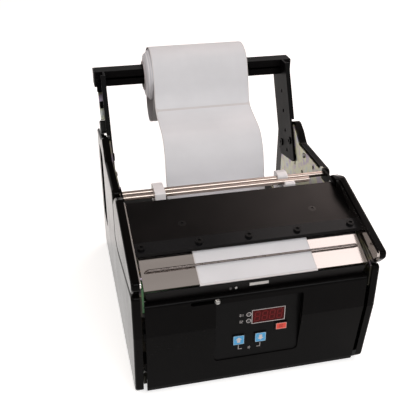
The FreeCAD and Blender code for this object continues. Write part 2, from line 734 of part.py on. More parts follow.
# Front shelf: black sheet between the panel's top and the table's edge
shelf_sheet = 1.2
shelf_half = table_half - table_sheet - 0.4
shelf_face = front_y + 5.6
shelf_path = [(shelf_face + 8.4, panel_top_z), (shelf_face, panel_top_z),
              (shelf_face - 1.3, panel_top_z + 9.4)]
shelf = ribbon(shelf_path, -shelf_sheet, 0.0, -shelf_half, shelf_half)
lens_x = (-23.7, -19.0)
lens_z = panel_top_z + 3.2
lens_r = 1.1
plate_x = 0.2
plate_w = 16.4
plate_z = panel_top_z + 5.6
plate_h = 2.8
tool_y = (shelf_face - 3.6, shelf_face + 3.4)
for x in lens_x:
    shelf = shelf.cut(rod_y(tool_y[0], tool_y[1], x, lens_z, lens_r))
shelf = shelf.cut(box(plate_x - plate_w / 2, plate_x + plate_w / 2, tool_y[0], tool_y[1],
                      plate_z - plate_h / 2, plate_z + plate_h / 2))
save("front_shelf", shelf)
sensor_front = shelf_face + 1.1
sensor_back = shelf_face + 2.8
save("label_sensor", box(lens_x[0] - 4.0, plate_x + plate_w / 2 + 2.0, sensor_front, sensor_back,
                         panel_top_z + shelf_sheet, panel_top_z + 7.0))
optics = [rod_y(shelf_face - 0.9, sensor_front, x, lens_z, lens_r) for x in lens_x]
optics.append(box(plate_x - plate_w / 2, plate_x + plate_w / 2, shelf_face - 1.5, sensor_front,
                  plate_z - plate_h / 2, plate_z + plate_h / 2))
save("sensor_optics", group(optics))

# Sensor adjuster: a screw that slides along the slot in the front panel
adjuster_x = slot_x1 - slot_h / 2
adjuster_head_r = 2.5
head_back = panel_front(slot_z) - 0.35
adjuster_plate_y = tub_back + body_gap
adjuster_screw = pan_screw((adjuster_x, head_back, slot_z), (0, -1, 0), adjuster_head_r, 1.6, 1.5,
                           adjuster_plate_y + 2.0 - head_back)
adjuster_plate = box(adjuster_x - 5.0, adjuster_x + 5.0, adjuster_plate_y, adjuster_plate_y + 2.0,
                     slot_z - 3.4, slot_z + 3.4)
plate_hole = rod_y(adjuster_plate_y - 1, adjuster_plate_y + 3, adjuster_x, slot_z, 1.5)
adjuster_plate = adjuster_plate.cut(plate_hole)
save("sensor_adjuster", group([adjuster_screw, adjuster_plate]))

# Amplifier board of the sensor, on the inner face of the left chassis plate
side_board = box(-chassis_inner, -chassis_inner + 1.6, front_y + 2.4, front_y + 15.0, 97.5, 121.0)
save("side_board", side_board)
plugs_list = [box(-chassis_inner, -chassis_inner + 1.6, front_y + 2.0, front_y + 8.0, 93.5, 97.5)]

# Guide rods above the web and the two white guides that slide on them
save("guide_rods", group([rod_x(-cover_inner, cover_inner, rear_rod_y, rod_z, rod_r),
                          rod_x(-cover_inner, front_rod_end_x, front_rod_y, rod_z, rod_r)]))
guide_outline = [
    (-30.0, 141.6, 0.8),
    (-20.0, 141.6),
    (-20.0, 131.0, 1.5),
    (-6.0, 131.0, 1.5),
    (-5.0, 148.0, 2.5),
    (-14.0, 149.6, 3.0),
    (-28.4, 148.6, 2.0),
]
left_guide = slab(guide_outline, "x", guide_left_x - guide_w / 2, guide_left_x + guide_w / 2)
for y in (rear_rod_y, front_rod_y):
    rod_bore = rod_x(guide_left_x - guide_w, guide_left_x + guide_w, y, rod_z, rod_r + running_gap)
    left_guide = left_guide.cut(rod_bore)
save("guide_left", left_guide)

# The right guide is bored for the rear rod alone; its foot passes under the front rod and rises ahead of it
foot_shift = 4.0
foot_top = rod_z - rod_r - body_gap
hump_outline = [
    (-19.2, 131.0, 1.5),
    (-6.0, 131.0, 1.5),
    (-5.0, 148.0, 2.5),
    (-13.0, 149.6, 3.0),
    (-19.2, 148.2, 2.5),
]
foot_outline = [
    (-30.0, 140.7, 0.2),
    (-17.0, 138.6),
    (-17.0, foot_top),
    (front_rod_y - rod_r - 0.6, foot_top),
    (front_rod_y - rod_r - 0.8, rod_z + 1.8, 0.8),
    (-30.0, rod_z + 1.0, 1.2),
]
right_guide = slab(hump_outline, "x", guide_right_x - guide_w / 2, guide_right_x + guide_w / 2)
foot_x0 = guide_right_x - guide_w / 2 + foot_shift
right_guide = right_guide.fuse(slab(foot_outline, "x", foot_x0, foot_x0 + guide_w))
rod_bore = rod_x(guide_right_x - guide_w, guide_right_x + 2 * guide_w, rear_rod_y, rod_z, rod_r + running_gap)
save("guide_right", right_guide.cut(rod_bore))

# Drive roller and pinch roller in plain bushes
def bush(x_sign, y, z, shaft_r):
    """Flanged bush in one chassis plate."""
    outer = rod_x(chassis_inner - 1.4, chassis_inner, y, z, shaft_r + bush_wall + 1.5)
    outer = outer.fuse(rod_x(chassis_inner, cover_inner, y, z, shaft_r + bush_wall))
    outer = outer.cut(rod_x(chassis_inner - 3, cover_inner + 1, y, z, shaft_r + running_gap))
    return outer if x_sign > 0 else mirrored(outer)


bracket_x0 = 62.0
bracket_sheet = 2.0
bracket_bush = rod_x(bracket_x0 - 1.4, bracket_x0, pinch_y, pinch_z, pinch_shaft_r + bush_wall + 1.5)
bracket_bush = bracket_bush.fuse(rod_x(bracket_x0, bracket_x0 + bracket_sheet, pinch_y, pinch_z,
                                       pinch_shaft_r + bush_wall))
bracket_bush = bracket_bush.cut(rod_x(bracket_x0 - 3, bracket_x0 + 4, pinch_y, pinch_z,
                                      pinch_shaft_r + running_gap))
bush_list = [bush(side, drive_y, drive_z, drive_shaft_r) for side in (-1, 1)]
bush_list += [bush(-1, pinch_y, pinch_z, pinch_shaft_r), bracket_bush]
save("roller_bushes", group(bush_list))
shaft_end = cover_inner - body_gap
save("drive_shaft", rod_x(-shaft_end, shaft_end, drive_y, drive_z, drive_shaft_r)
     .fuse(rod_x(-roller_half, roller_half, drive_y, drive_z, drive_core_r)))
save("drive_roller_sleeve", rod_x(-roller_half, roller_half, drive_y, drive_z, drive_r)
     .cut(rod_x(-roller_half - 1, roller_half + 1, drive_y, drive_z, drive_core_r)))
save("pinch_shaft", rod_x(-shaft_end, bracket_x0 + bracket_sheet + 1.0, pinch_y, pinch_z, pinch_shaft_r))
save("pinch_roller_sleeve", rod_x(-roller_half, roller_half, pinch_y, pinch_z, pinch_r)
     .cut(rod_x(-roller_half - 1, roller_half + 1, pinch_y, pinch_z, pinch_shaft_r)))


# Spur gears with involute flanks
def involute_gear(teeth, module, width, bore_r, x, y, z, turn, backlash):
    """Spur gear along X; a tooth points at the given angle from the Y axis."""
    pressure = math.radians(20.0)
    pitch_r = module * teeth / 2
    base_r = pitch_r * math.cos(pressure)
    tip_r = pitch_r + 0.95 * module
    root_r = pitch_r - 1.2 * module
    half_tooth = math.pi / (2 * teeth) - backlash / (2 * pitch_r)
    spread = math.tan(pressure) - pressure
    points = []
    steps = 4
    for k in range(teeth):
        middle = turn + 2 * math.pi * k / teeth
        flank = []
        for i in range(steps + 1):
            r = max(base_r, root_r) + (tip_r - max(base_r, root_r)) * i / steps
            roll = math.sqrt(max(0.0, (r / base_r) ** 2 - 1))
            flank.append((r, half_tooth + spread - (roll - math.atan(roll))))
        points.append((root_r, middle - half_tooth - spread))
        points += [(r, middle - a) for r, a in flank if r > root_r]
        points += [(r, middle + a) for r, a in flank[::-1] if r > root_r]
        points.append((root_r, middle + half_tooth + spread))
    outline = [(y + r * math.cos(a), z + r * math.sin(a)) for r, a in points]
    return slab(outline, "x", x, x + width).cut(rod_x(x - 1, x + width + 1, y, z, bore_r))


motor_y = drive_y + gear_distance
motor_z = drive_z
tooth_slack = 0.25
gear = involute_gear(gear_teeth, gear_module, gear_w, drive_shaft_r, gear_x, drive_y, drive_z,
                     0.0, tooth_slack)
gear_end = gear_x + gear_w
gear = gear.fuse(rod_x(gear_end, gear_end + 5.0, drive_y, drive_z, 7.0)
                 .cut(rod_x(gear_end - 1.0, gear_end + 6.0, drive_y, drive_z, drive_shaft_r)))
save("drive_gear", gear)
pinion_turn = math.pi + math.pi / pinion_teeth
pinion = involute_gear(pinion_teeth, gear_module, gear_w + 1.0, motor_shaft_r, gear_x - 0.5, motor_y, motor_z,
                       pinion_turn, tooth_slack)

# Gear motor on a steel bracket that stands on the bottom plate
motor_length = 48.0
motor_back = bracket_x0 - motor_length
motor = rod_x(motor_back, bracket_x0, motor_y, motor_z, motor_r)
motor = motor.fuse(rod_x(bracket_x0, bracket_x0 + bracket_sheet, motor_y, motor_z, 7.0))
motor = motor.cut(rod_x(bracket_x0 - 12.0, bracket_x0 + 5.0, motor_y, motor_z, motor_shaft_r + running_gap))
save("gear_motor", motor)
motor_shaft = rod_x(bracket_x0 - 11.0, gear_x + gear_w + 1.0, motor_y, motor_z, motor_shaft_r)
save("motor_pinion", group([pinion, motor_shaft]))
floor_top = floor_z + floor_sheet
bracket = slab([(-92.0, floor_top), (-48.0, floor_top), (-48.0, motor_z + motor_r + 1.0, 8.0),
                (drive_y + 9.0, motor_z + motor_r + 1.0, 8.0), (pinch_y - 9.0, pinch_z + 9.0, 6.0),
                (pinch_y - 9.0, pinch_z - 9.0, 6.0), (-92.0, pinch_z - 22.0, 6.0)],
               "x", bracket_x0, bracket_x0 + bracket_sheet)
bracket = bracket.cut(rod_x(bracket_x0 - 1, bracket_x0 + 4, pinch_y, pinch_z, pinch_shaft_r + bush_wall))
bracket = bracket.fuse(box(bracket_x0 - 14.0, bracket_x0, -92.0, -48.0, floor_top, floor_top + bracket_sheet))
bracket = bracket.cut(rod_x(bracket_x0 - 1, bracket_x0 + 4, motor_y, motor_z, 7.0))
bracket = bracket.cut(rod_x(bracket_x0 - 1, bracket_x0 + 4, drive_y, drive_z, drive_shaft_r + 1.5))
bracket_screws = []
for y in (-84.0, -56.0):
    bracket = bracket.cut(rod_z_axis(floor_top - 1, floor_top + 4, bracket_x0 - 7.0, y, 1.3))
    bracket_screws.append(pan_screw((bracket_x0 - 7.0, y, floor_top + bracket_sheet), (0, 0, 1),
                                    2.6, 1.5, 1.3, bracket_sheet))
for k in range(3):
    angle = math.radians(90 + 120 * k)
    y = motor_y + 13.0 * math.cos(angle)
    z = motor_z + 13.0 * math.sin(angle)
    bracket = bracket.cut(rod_x(bracket_x0 - 1, bracket_x0 + 4, y, z, 1.3))
    bracket_screws.append(pan_screw((bracket_x0 + bracket_sheet, y, z), (1, 0, 0),
                                    2.4, 1.5, 1.3, bracket_sheet))
save("motor_bracket", bracket)
small_screws += bracket_screws

# Main board on posts above the bottom plate
main_z = floor_top + 8.0
main_x0, main_x1, main_y0, main_y1 = -84.0, 40.0, -20.0, 90.0
main_board = box(main_x0, main_x1, main_y0, main_y1, main_z, main_z + 1.6)
main_posts = []
for x in (main_x0 + 5.0, main_x1 - 5.0):
    for y in (main_y0 + 5.0, main_y1 - 5.0):
        main_posts.append(rod_z_axis(floor_top, main_z, x, y, 3.0))
save("main_board", main_board)
spacer_list += main_posts
can_spots = [(-70.0, 60.0), (-70.0, 76.0), (-54.0, 76.0)]
parts_list = [rod_z_axis(main_z + 1.6, main_z + 12.0, x, y, 5.0) for x, y in can_spots]
parts_list += [box(-60.0, -46.0, 10.0, 24.0, main_z + 1.6, main_z + 4.0),
               box(-30.0, -20.0, 20.0, 38.0, main_z + 1.6, main_z + 4.4)]
plugs_list += [box(x, x + 12.0, -17.0, -10.0, main_z + 1.6, main_z + 10.0) for x in (-70.0, -48.0, -20.0)]
save("board_parts", group(parts_list + plugs_list + switches))

# Arms: black sheet webs with an outward flange along the front edge
arm_outer = chassis_inner
arm_inner = arm_outer - arm_sheet


def arm_slab(corners, x0, x1):
    """Outline given along and across the arm, carried along X."""
    points = []
    for c in corners:
        y, z = on_arm(c[0], c[1])
        points.append((y, z) + tuple(c[2:]))
    return slab(points, "x", x0, x1)


arm_top = -6.0
web = arm_slab([(arm_top - 14.0, arm_front), (arm_low_front, arm_front, 3.0),
                (arm_low_rear, arm_rear, 5.0), (9.0, arm_rear, 4.0), (-2.0, 10.0), (arm_top - 14.0, 6.0)],
               arm_inner, arm_outer)
bar_top = bar_z + bar_side / 2
bar_front = bar_y - bar_side / 2
bar_rear = bar_y + bar_side / 2
above_bar = box(0, 2 * outer_half, 0, 2 * rear_y, bar_top, 2 * bar_z)
behind_bar = box(0, 2 * outer_half, bar_rear - 0.1, 2 * rear_y, bar_z - 1.0, 2 * bar_z)
web = web.cut(above_bar).cut(behind_bar)
flange_low = 62.0
flange = arm_slab([(arm_top - 14.0, arm_front), (flange_low, arm_front), (flange_low, arm_front + arm_sheet),
                   (arm_top - 14.0, arm_front + arm_sheet)], arm_outer, arm_outer + arm_flange_w)
flange = flange.cut(above_bar)
arm = web.fuse(flange)
arm = arm.cut(box(0, 2 * outer_half, bar_front, bar_rear, bar_z - bar_side / 2, bar_top + 9.0))
for k in range(4):
    y, z = on_arm(arm_hole_first + k * arm_hole_pitch, arm_hole_side)
    arm = arm.cut(rod_x(arm_inner - 1, arm_outer + 1, y, z, arm_hole_r))
arm_bolts = []
for along, across in arm_bolts_at:
    y, z = on_arm(along, across)
    arm = arm.cut(rod_x(arm_inner - 1, arm_outer + 1, y, z, arm_bolt_r))
    bolt = socket_screw((arm_inner, y, z), (-1, 0, 0), 4.0, 1.2, arm_bolt_r, cover_inner - arm_inner)
    arm_bolts.append(bolt)
stud_along = 27.5
y, z = on_arm(stud_along, 12.6)
arm = arm.cut(rod_x(arm_inner - 1, arm_outer + 1, y, z, 2.0))
arm_studs = [socket_screw((arm_outer, y, z), (1, 0, 0), 3.6, 4.5, 2.0, arm_sheet)]
stop_high = 45.0
stop_low = 58.0
block = arm_slab([(stop_high, -6.0, 2.0), (stop_low, -6.0, 2.0), (stop_low, 12.0, 2.0),
                  (stop_high, 12.0, 2.0)], arm_outer, arm_outer + 7.0)
save("arm_stops", group([block, mirrored(block)]))

# Zinc-plated spacer strips behind the studs, on the arms' outer faces
strip = arm_slab([(13.0, 17.0, 0.8), (stop_high - 2.0, 17.0, 0.8), (stop_high - 2.0, arm_rear, 0.8),
                  (13.0, arm_rear, 0.8)], arm_outer, arm_outer + 4.6)
spacer_list += [strip, mirrored(strip)]

# Roll bar: square tube in the arms' saddles, with plugs and clamp screws
tube = box(-bar_half, bar_half, bar_front, bar_rear, bar_z - bar_side / 2, bar_top)
inside = bar_side / 2 - bar_wall
tube = tube.cut(box(-bar_half - 1, bar_half + 1, bar_y - inside, bar_y + inside,
                    bar_z - inside, bar_z + inside))
plugs = []
for side in (-1, 1):
    x0 = min(side * (bar_half - 6.0), side * (bar_half + 1.5))
    x1 = max(side * (bar_half - 6.0), side * (bar_half + 1.5))
    xa = min(side * bar_half, side * (bar_half + 1.5))
    xb = max(side * bar_half, side * (bar_half + 1.5))
    plug = box(x0, x1, bar_y - inside, bar_y + inside, bar_z - inside, bar_z + inside)
    plugs.append(plug.fuse(box(xa, xb, bar_front, bar_rear, bar_z - bar_side / 2, bar_top)))
tab_half = 3.2
tab_x = arm_outer + 3.4
tab_sheet = 1.6
tab = slab([(tab_x - tab_half, bar_z - 13.0, 1.0), (tab_x + tab_half, bar_z - 13.0, 1.0),
            (tab_x + tab_half, bar_z + 5.5, tab_half), (tab_x - tab_half, bar_z + 5.5, tab_half)],
           "y", bar_front - tab_sheet, bar_front)
tab_screw_at = (tab_x, bar_front - tab_sheet, bar_z)
tab = tab.cut(rod_y(bar_y - 20.0, bar_y, tab_screw_at[0], bar_z, 1.6))
for side in (-1, 1):
    tube = tube.cut(rod_y(bar_front - 1.0, bar_y - inside + 0.5, side * tab_x, bar_z, 1.6))
tab_screw = pan_screw(tab_screw_at, (0, -1, 0), 3.0, 1.6, 1.6, tab_sheet + bar_wall)
arm = arm.fuse(tab)
save("arm_right", arm)
save("arm_left", mirrored(arm))
save("roll_bar", tube)
save("bar_plugs", group(plugs))
arm_fasteners = arm_bolts + arm_studs + [tab_screw]
save("arm_bolts", group(arm_fasteners + [mirrored(s) for s in arm_fasteners]))

# Label roll on its card core, hanging on the bar
core_drop = math.sqrt((core_bore_r - 0.35) ** 2 - (bar_side / 2) ** 2) - bar_side / 2
roll_z = bar_z - core_drop
roll_x = 2.5
core = rod_x(roll_x - 57.0, roll_x + 51.5, bar_y, roll_z, core_r)
core = core.cut(rod_x(roll_x - 58.0, roll_x + 53.0, bar_y, roll_z, core_bore_r))
roll_half = label_width / 2
profile = [V(-roll_half, 0, core_r), V(roll_half, 0, core_r), V(roll_half, 0, roll_r),
           V(-roll_half, 0, roll_r), V(-roll_half - 1.5, 0, roll_r - 1.8),
           V(-roll_half - 5.0, 0, roll_r - 5.0),
           V(-roll_half - 6.0, 0, core_r)]
paper = Part.Face(Part.makePolygon(profile + [profile[0]])).revolve(V(0, 0, 0), V(1, 0, 0), 360)
paper.translate(V(roll_x, bar_y, roll_z))
save("label_core", core)
save("label_roll", paper)

# Web of labels: one loose turn round the roll, then down, under the rods and over the table
web_sheet = 0.35
loose = smooth([
    (99.2, 205.0), (102.0, 182.0), (111.0, 163.0), (126.0, 155.5), (142.0, 163.0), (152.5, 184.0),
    (154.6, 208.0), (146.0, 228.0), (127.0, 234.8), (108.0, 228.0), (99.0, 210.0), (93.0, 193.0),
    (84.5, 181.0), (66.0, 175.0), (46.0, 169.5), (32.0, 157.0), (24.0, 141.0), (20.0, 126.0),
    (15.0, 113.0), (5.0, 107.0),
    (-5.0, 113.0), (-10.5, 125.0), (-17.0, 134.8), (-26.5, 138.6)], 5)
web_strip = ribbon(loose + table_path[1:], -web_sheet, 0.0, -roll_half, roll_half)
label_path = [(-97.0, table_top(-97.0)), (-98.0, table_top(-98.0)), table_path[-1]]
front_label = ribbon(label_path, -web_sheet - 0.15, -web_sheet, -roll_half + 0.8, roll_half - 0.8)
save("label_web", group([web_strip, front_label]))

# Empty backing paper: round the table's edge, through the rollers and out at the rear
along = (math.cos(liner_angle), math.sin(liner_angle))
low_run = 135.0
bend_start = (liner_edge[0] + along[0] * low_run, liner_edge[1] + along[1] * low_run)
tail = smooth([bend_start, (bend_start[0] + 14.0, liner_slot_z + 2.0), (bend_start[0] + 40.0, liner_slot_z),
               (rear_panel_y, liner_slot_z), (rear_panel_y + 7.0, liner_slot_z - 1.5),
               (rear_panel_y + 12.0, liner_slot_z - 8.0)], 3)
edge_y, edge_z = table_path[-1]
nose = [(edge_y - 0.3, edge_z + 0.2), (edge_y - 0.9, edge_z - 0.4), (edge_y - 0.5, edge_z - 1.2)]
run_start = (liner_edge[0] + along[0] * 6.0, liner_edge[1] + along[1] * 6.0)
save("waste_liner", ribbon(nose + [run_start] + tail, -liner_slack - liner_sheet, -liner_slack,
                           -roll_half, roll_half))

# Lid: folded black cover between two moulded cheeks, hinged at the rear
cheek_front_y = front_y - 7.6
cheek_slope = math.tan(math.radians(13.7))


def cheek_top(y):
    """Height of the cheek's top line."""
    return 156.6 - cheek_slope * (-46.5 - y)


cheek_start = tangent_point(front_y - 0.3, front_top_z + 3.0, cheek_arc_r)
cheek_low = pivot_z - math.sqrt(cheek_arc_r ** 2 - (cheek_rear_y - pivot_y) ** 2)
cheek_outline = [
    (front_y - 0.3, front_top_z + 3.0, 2.5),
    (cheek_front_y, 127.4, 5.0),
    (cheek_front_y + 0.6, cheek_top(cheek_front_y + 0.6) - 0.4, 4.0),
    (-46.5, 156.6, 9.0),
    (-33.5, 151.8, 6.0),
    (-26.0, 147.0, 3.0),
    (cheek_rear_y, 137.0, 2.5),
    (cheek_rear_y, cheek_low),
    cheek_start,
]
cheek = slab(cheek_outline, "x", cheek_inner, outer_half)
heel_zone = box(cheek_inner, outer_half, cheek_start[0], cheek_rear_y, 60.0, pivot_z - 20.0)
cheek = cheek.fuse(rod_x(cheek_inner, outer_half, pivot_y, pivot_z, cheek_arc_r).common(heel_zone))
cheek = cheek.removeSplitter()
cheek = rounded_edges(cheek, edge_round, lambda e: e.BoundBox.XMin > outer_half - 0.01)
pin_end = outer_half - 1.6
cheek = cheek.cut(rod_x(cheek_inner - 1, pin_end + 0.4, pivot_y, pivot_z, pivot_pin_r + running_gap))
save("lid_cheek_right", cheek)
save("lid_cheek_left", mirrored(cheek))
pin = rod_x(chassis_inner, pin_end, pivot_y, pivot_z, pivot_pin_r)
save("hinge_pins", group([pin, mirrored(pin)]))

side_plate = slab([
    (front_y + 0.8, 121.6, 2.0),
    (cheek_front_y + 2.0, 128.2, 4.0),
    (cheek_front_y + 2.6, cheek_top(cheek_front_y + 2.6) - 2.2, 3.0),
    (ear_front_y - 4.0, cheek_top(ear_front_y - 4.0) - 2.0, 3.0),
    (ear_front_y - 4.0, lid_top(ear_front_y - 4.0) - 5.4, 2.0),
    (fold_y - 10.0, lid_top(fold_y) - 8.0, 4.0),
], "x", lid_half, cheek_inner)
save("lid_side_plate_right", side_plate)
save("lid_side_plate_left", mirrored(side_plate))

lid_path = [(lid_rear_y, lid_rear_z), (fold_y, fold_z), (strip_y, strip_z), (strip_y - 0.5, strip_z - 2.6)]
lid = ribbon(lid_path, 0.0, lid_sheet, -lid_half, lid_half)
notch = box(chassis_inner - 0.5, lid_half + 1, ear_front_y - 1.0, 0.0, 120.0, 160.0)
lid = lid.cut(notch).cut(mirrored(notch))
strip_tilt = math.atan2(fold_z - strip_z, fold_y - strip_y)
strip_up = (0.0, -math.sin(strip_tilt), math.cos(strip_tilt))
strip_mid = ((fold_y + strip_y) / 2, (fold_z + strip_z) / 2)
strip_screw_r = 1.5
felt_sheet = 1.2
felt_front = 0.25
felt_tip = (strip_y + (fold_y - strip_y) * felt_front, strip_z + (fold_z - strip_z) * felt_front)
felt = ribbon([(fold_y + 6.0, lid_top(fold_y + 6.0)), (fold_y, fold_z), felt_tip],
              lid_sheet, lid_sheet + felt_sheet, -88.0, 88.0)
strip_screws = []
for x in strip_screw_x:
    point = (x, strip_mid[0], strip_mid[1])
    hole = Part.makeCylinder(strip_screw_r, 6.0, V(*point) - V(*strip_up) * 5.0, V(*strip_up))
    lid = lid.cut(hole)
    felt = felt.cut(hole)
    strip_screws.append(socket_screw(point, strip_up, 3.1, 2.0, strip_screw_r, lid_sheet))
lid_tilt = math.atan2(lid_rear_z - fold_z, lid_rear_y - fold_y)
lid_up = (0.0, -math.sin(lid_tilt), math.cos(lid_tilt))
flush_screws = []
for x in flush_screw_x:
    point = V(x, -71.0, lid_top(-71.0))
    lid = lid.cut(Part.makeCylinder(3.6, 3.0, point - V(*lid_up) * 0.8, V(*lid_up)))
    head = Part.makeCylinder(3.6, 0.8, point - V(*lid_up) * 0.8, V(*lid_up))
    flush_screws.append(head.cut(Part.makeCylinder(1.5, 1.0, point - V(*lid_up) * 0.5, V(*lid_up))))
save("lid_cover", lid)
save("lid_felt", felt)
save("lid_screws", group(strip_screws + flush_screws))

# Fasteners and spacers collected from all the sections
save("small_screws", group(small_screws))
save("spacers", group(spacer_list))
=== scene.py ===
"""Desktop label dispenser: looks of every piece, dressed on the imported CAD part."""
import json
import math

import bmesh
import bpy
import numpy as np
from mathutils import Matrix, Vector

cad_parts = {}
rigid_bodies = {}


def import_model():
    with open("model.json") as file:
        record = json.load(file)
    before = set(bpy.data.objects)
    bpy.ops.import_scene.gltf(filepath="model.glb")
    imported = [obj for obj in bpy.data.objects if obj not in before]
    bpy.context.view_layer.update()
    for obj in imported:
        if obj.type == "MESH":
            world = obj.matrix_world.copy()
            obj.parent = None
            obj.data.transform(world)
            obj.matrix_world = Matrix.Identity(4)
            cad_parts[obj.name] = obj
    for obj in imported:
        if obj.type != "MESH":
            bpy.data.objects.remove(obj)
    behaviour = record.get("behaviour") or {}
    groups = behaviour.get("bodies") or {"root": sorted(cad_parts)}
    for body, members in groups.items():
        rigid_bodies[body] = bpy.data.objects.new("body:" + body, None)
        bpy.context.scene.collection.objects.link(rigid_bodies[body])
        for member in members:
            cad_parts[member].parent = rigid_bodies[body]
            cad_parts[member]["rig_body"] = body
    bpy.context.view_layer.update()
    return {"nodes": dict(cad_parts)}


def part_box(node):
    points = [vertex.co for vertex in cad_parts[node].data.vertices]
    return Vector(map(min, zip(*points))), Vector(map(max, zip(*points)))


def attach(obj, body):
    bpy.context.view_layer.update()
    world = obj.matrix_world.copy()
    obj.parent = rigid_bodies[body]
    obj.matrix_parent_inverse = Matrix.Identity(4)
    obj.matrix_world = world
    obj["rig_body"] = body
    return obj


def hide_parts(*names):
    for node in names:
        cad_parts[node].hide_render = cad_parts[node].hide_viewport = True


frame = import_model()
MM = 0.001
drift_low, drift_high = 0.3, 0.7  # part of the noise that a finish's colours and roughness run over
merge_mm = 0.002                  # vertices nearer than this are one
crease_deg = 32                   # a sharper turn stays a crease in the shading
break_deg = 38                    # a sharper edge gets its small radius


# Side covers, lid cheeks and front panel.
# Injection-moulded black ABS with a polished face; the covers stand outside
# the chassis plates, the panel is screwed between them.
def linear(code):
    """sRGB hex turned to linear: c / 12.92 near black, ((c + 0.055) / 1.055) ** 2.4 above."""
    parts = [int(code[i:i + 2], 16) / 255 for i in (1, 3, 5)]
    return tuple(c / 12.92 if c <= 0.04045 else ((c + 0.055) / 1.055) ** 2.4 for c in parts) + (1.0,)


def add(tree, kind, values=None, links=None, **settings):
    """Adds one node: its properties, the constants on its sockets and the sockets it reads."""
    made = tree.nodes.new(kind)
    for name, value in settings.items():
        setattr(made, name, value)
    for socket, value in (values or {}).items():
        made.inputs[socket].default_value = value
    for socket, source in (links or {}).items():
        tree.links.new(source, made.inputs[socket])
    return made


def new_material(name):
    """An empty material, its node tree and its output node."""
    made = bpy.data.materials.new(name)
    made.use_nodes = True
    made.node_tree.nodes.clear()
    return made, made.node_tree, add(made.node_tree, "ShaderNodeOutputMaterial")


def finish(name, colours, patch_mm, rough, metallic=0.0, specular=0.5, grain_mm=1.0, grain=0.0,
           stretch=(1.0, 1.0, 1.0)):
    """Solid finish: the colour drifts through the given hex values over patches of patch_mm, the
    roughness between its two values, and a bump of grain_mm gives the surface its texture."""
    made, tree, output = new_material(name)
    place = add(tree, "ShaderNodeTexCoord")
    spread = add(tree, "ShaderNodeMapping", {"Scale": stretch}, {"Vector": place.outputs["Object"]})
    patches = add(tree, "ShaderNodeTexNoise",
                  {"Scale": 1 / (patch_mm * MM), "Detail": 4.0, "Roughness": 0.55},
                  {"Vector": spread.outputs["Vector"]})
    ramp = add(tree, "ShaderNodeValToRGB", None, {"Fac": patches.outputs["Fac"]})
    stops = ramp.color_ramp.elements
    stops[0].position, stops[1].position = drift_low, drift_high
    stops[0].color, stops[1].color = linear(colours[0]), linear(colours[-1])
    for i, code in enumerate(colours[1:-1]):
        share = (i + 1) / (len(colours) - 1)
        stops.new(drift_low + (drift_high - drift_low) * share).color = linear(code)
    sheen = add(tree, "ShaderNodeMapRange",
                {"From Min": drift_low, "From Max": drift_high, "To Min": rough[0], "To Max": rough[1]},
                {"Value": patches.outputs["Fac"]})
    fine = add(tree, "ShaderNodeTexNoise", {"Scale": 1 / (grain_mm * MM), "Detail": 3.0},
               {"Vector": spread.outputs["Vector"]})
    bump = add(tree, "ShaderNodeBump", {"Strength": grain, "Distance": 0.1 * MM},
               {"Height": fine.outputs["Fac"]})
    shader = add(tree, "ShaderNodeBsdfPrincipled",
                 {"Metallic": metallic, "Specular IOR Level": specular},
                 {"Base Color": ramp.outputs["Color"], "Roughness": sheen.outputs["Result"],
                  "Normal": bump.outputs["Normal"]})
    tree.links.new(shader.outputs["BSDF"], output.inputs["Surface"])
    return made


def dress(material, *names):
    """Gives a finish to CAD nodes that are shown as they are."""
    for name in names:
        mesh = frame["nodes"][name].data
        mesh.materials.clear()
        mesh.materials.append(material)


def settle(piece, body):
    """Links a finished piece and states the body it rides on."""
    bpy.context.scene.collection.objects.link(piece)
    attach(piece, body)
    return piece


def refine(material, slot, edge_mm, *names):
    """Stands for CAD nodes: the same form with doubles merged, smooth curves, sharp edges broken
    by a small radius, and normals weighted by face area so that flat walls stay flat."""
    made = []
    for name in names:
        source = frame["nodes"][name]
        mesh = source.data.copy()
        mesh.materials.clear()
        mesh.materials.append(material)
        work = bmesh.new()
        work.from_mesh(mesh)
        bmesh.ops.remove_doubles(work, verts=work.verts, dist=merge_mm * MM)
        work.to_mesh(mesh)
        work.free()
        mesh.shade_smooth()
        mesh.set_sharp_from_angle(angle=math.radians(crease_deg))
        piece = settle(bpy.data.objects.new(name + "_finished", mesh), source["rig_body"])
        if edge_mm:
            rim = piece.modifiers.new("edge", "BEVEL")
            rim.width = edge_mm * MM
            rim.segments = 2
            rim.limit_method = "ANGLE"
            rim.angle_limit = math.radians(break_deg)
        level = piece.modifiers.new("level", "WEIGHTED_NORMAL")
        level.keep_sharp = True
        level.weight = 100
        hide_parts(name)
        made.append(piece)
    return made


def paint(piece, material, chosen, cuts=()):
    """Gives a further finish to the faces of a piece whose centre and normal pass the test;
    cuts are planes, a point and a normal in mm, that first divide the faces they cross."""
    work = bmesh.new()
    work.from_mesh(piece.data)
    for point, normal in cuts:
        whole = list(work.verts) + list(work.edges) + list(work.faces)
        bmesh.ops.bisect_plane(work, geom=whole, plane_co=Vector(point) * MM, plane_no=Vector(normal))
    work.to_mesh(piece.data)
    work.free()
    piece.data.materials.append(material)
    for face in piece.data.polygons:
        if chosen(face.center / MM, face.normal):
            face.material_index = len(piece.data.materials) - 1


polished_abs = finish("black_abs_moulded_polished", ("#060505", "#0a0909"), 60, (0.12, 0.18),
                      specular=0.035, grain_mm=9, grain=0.04)
refine(polished_abs, "gloss_black", 0.35, "side_cover_left", "side_cover_right", "front_panel")
cheeks = refine(polished_abs, "gloss_black", 0.35, "lid_cheek_left", "lid_cheek_right")
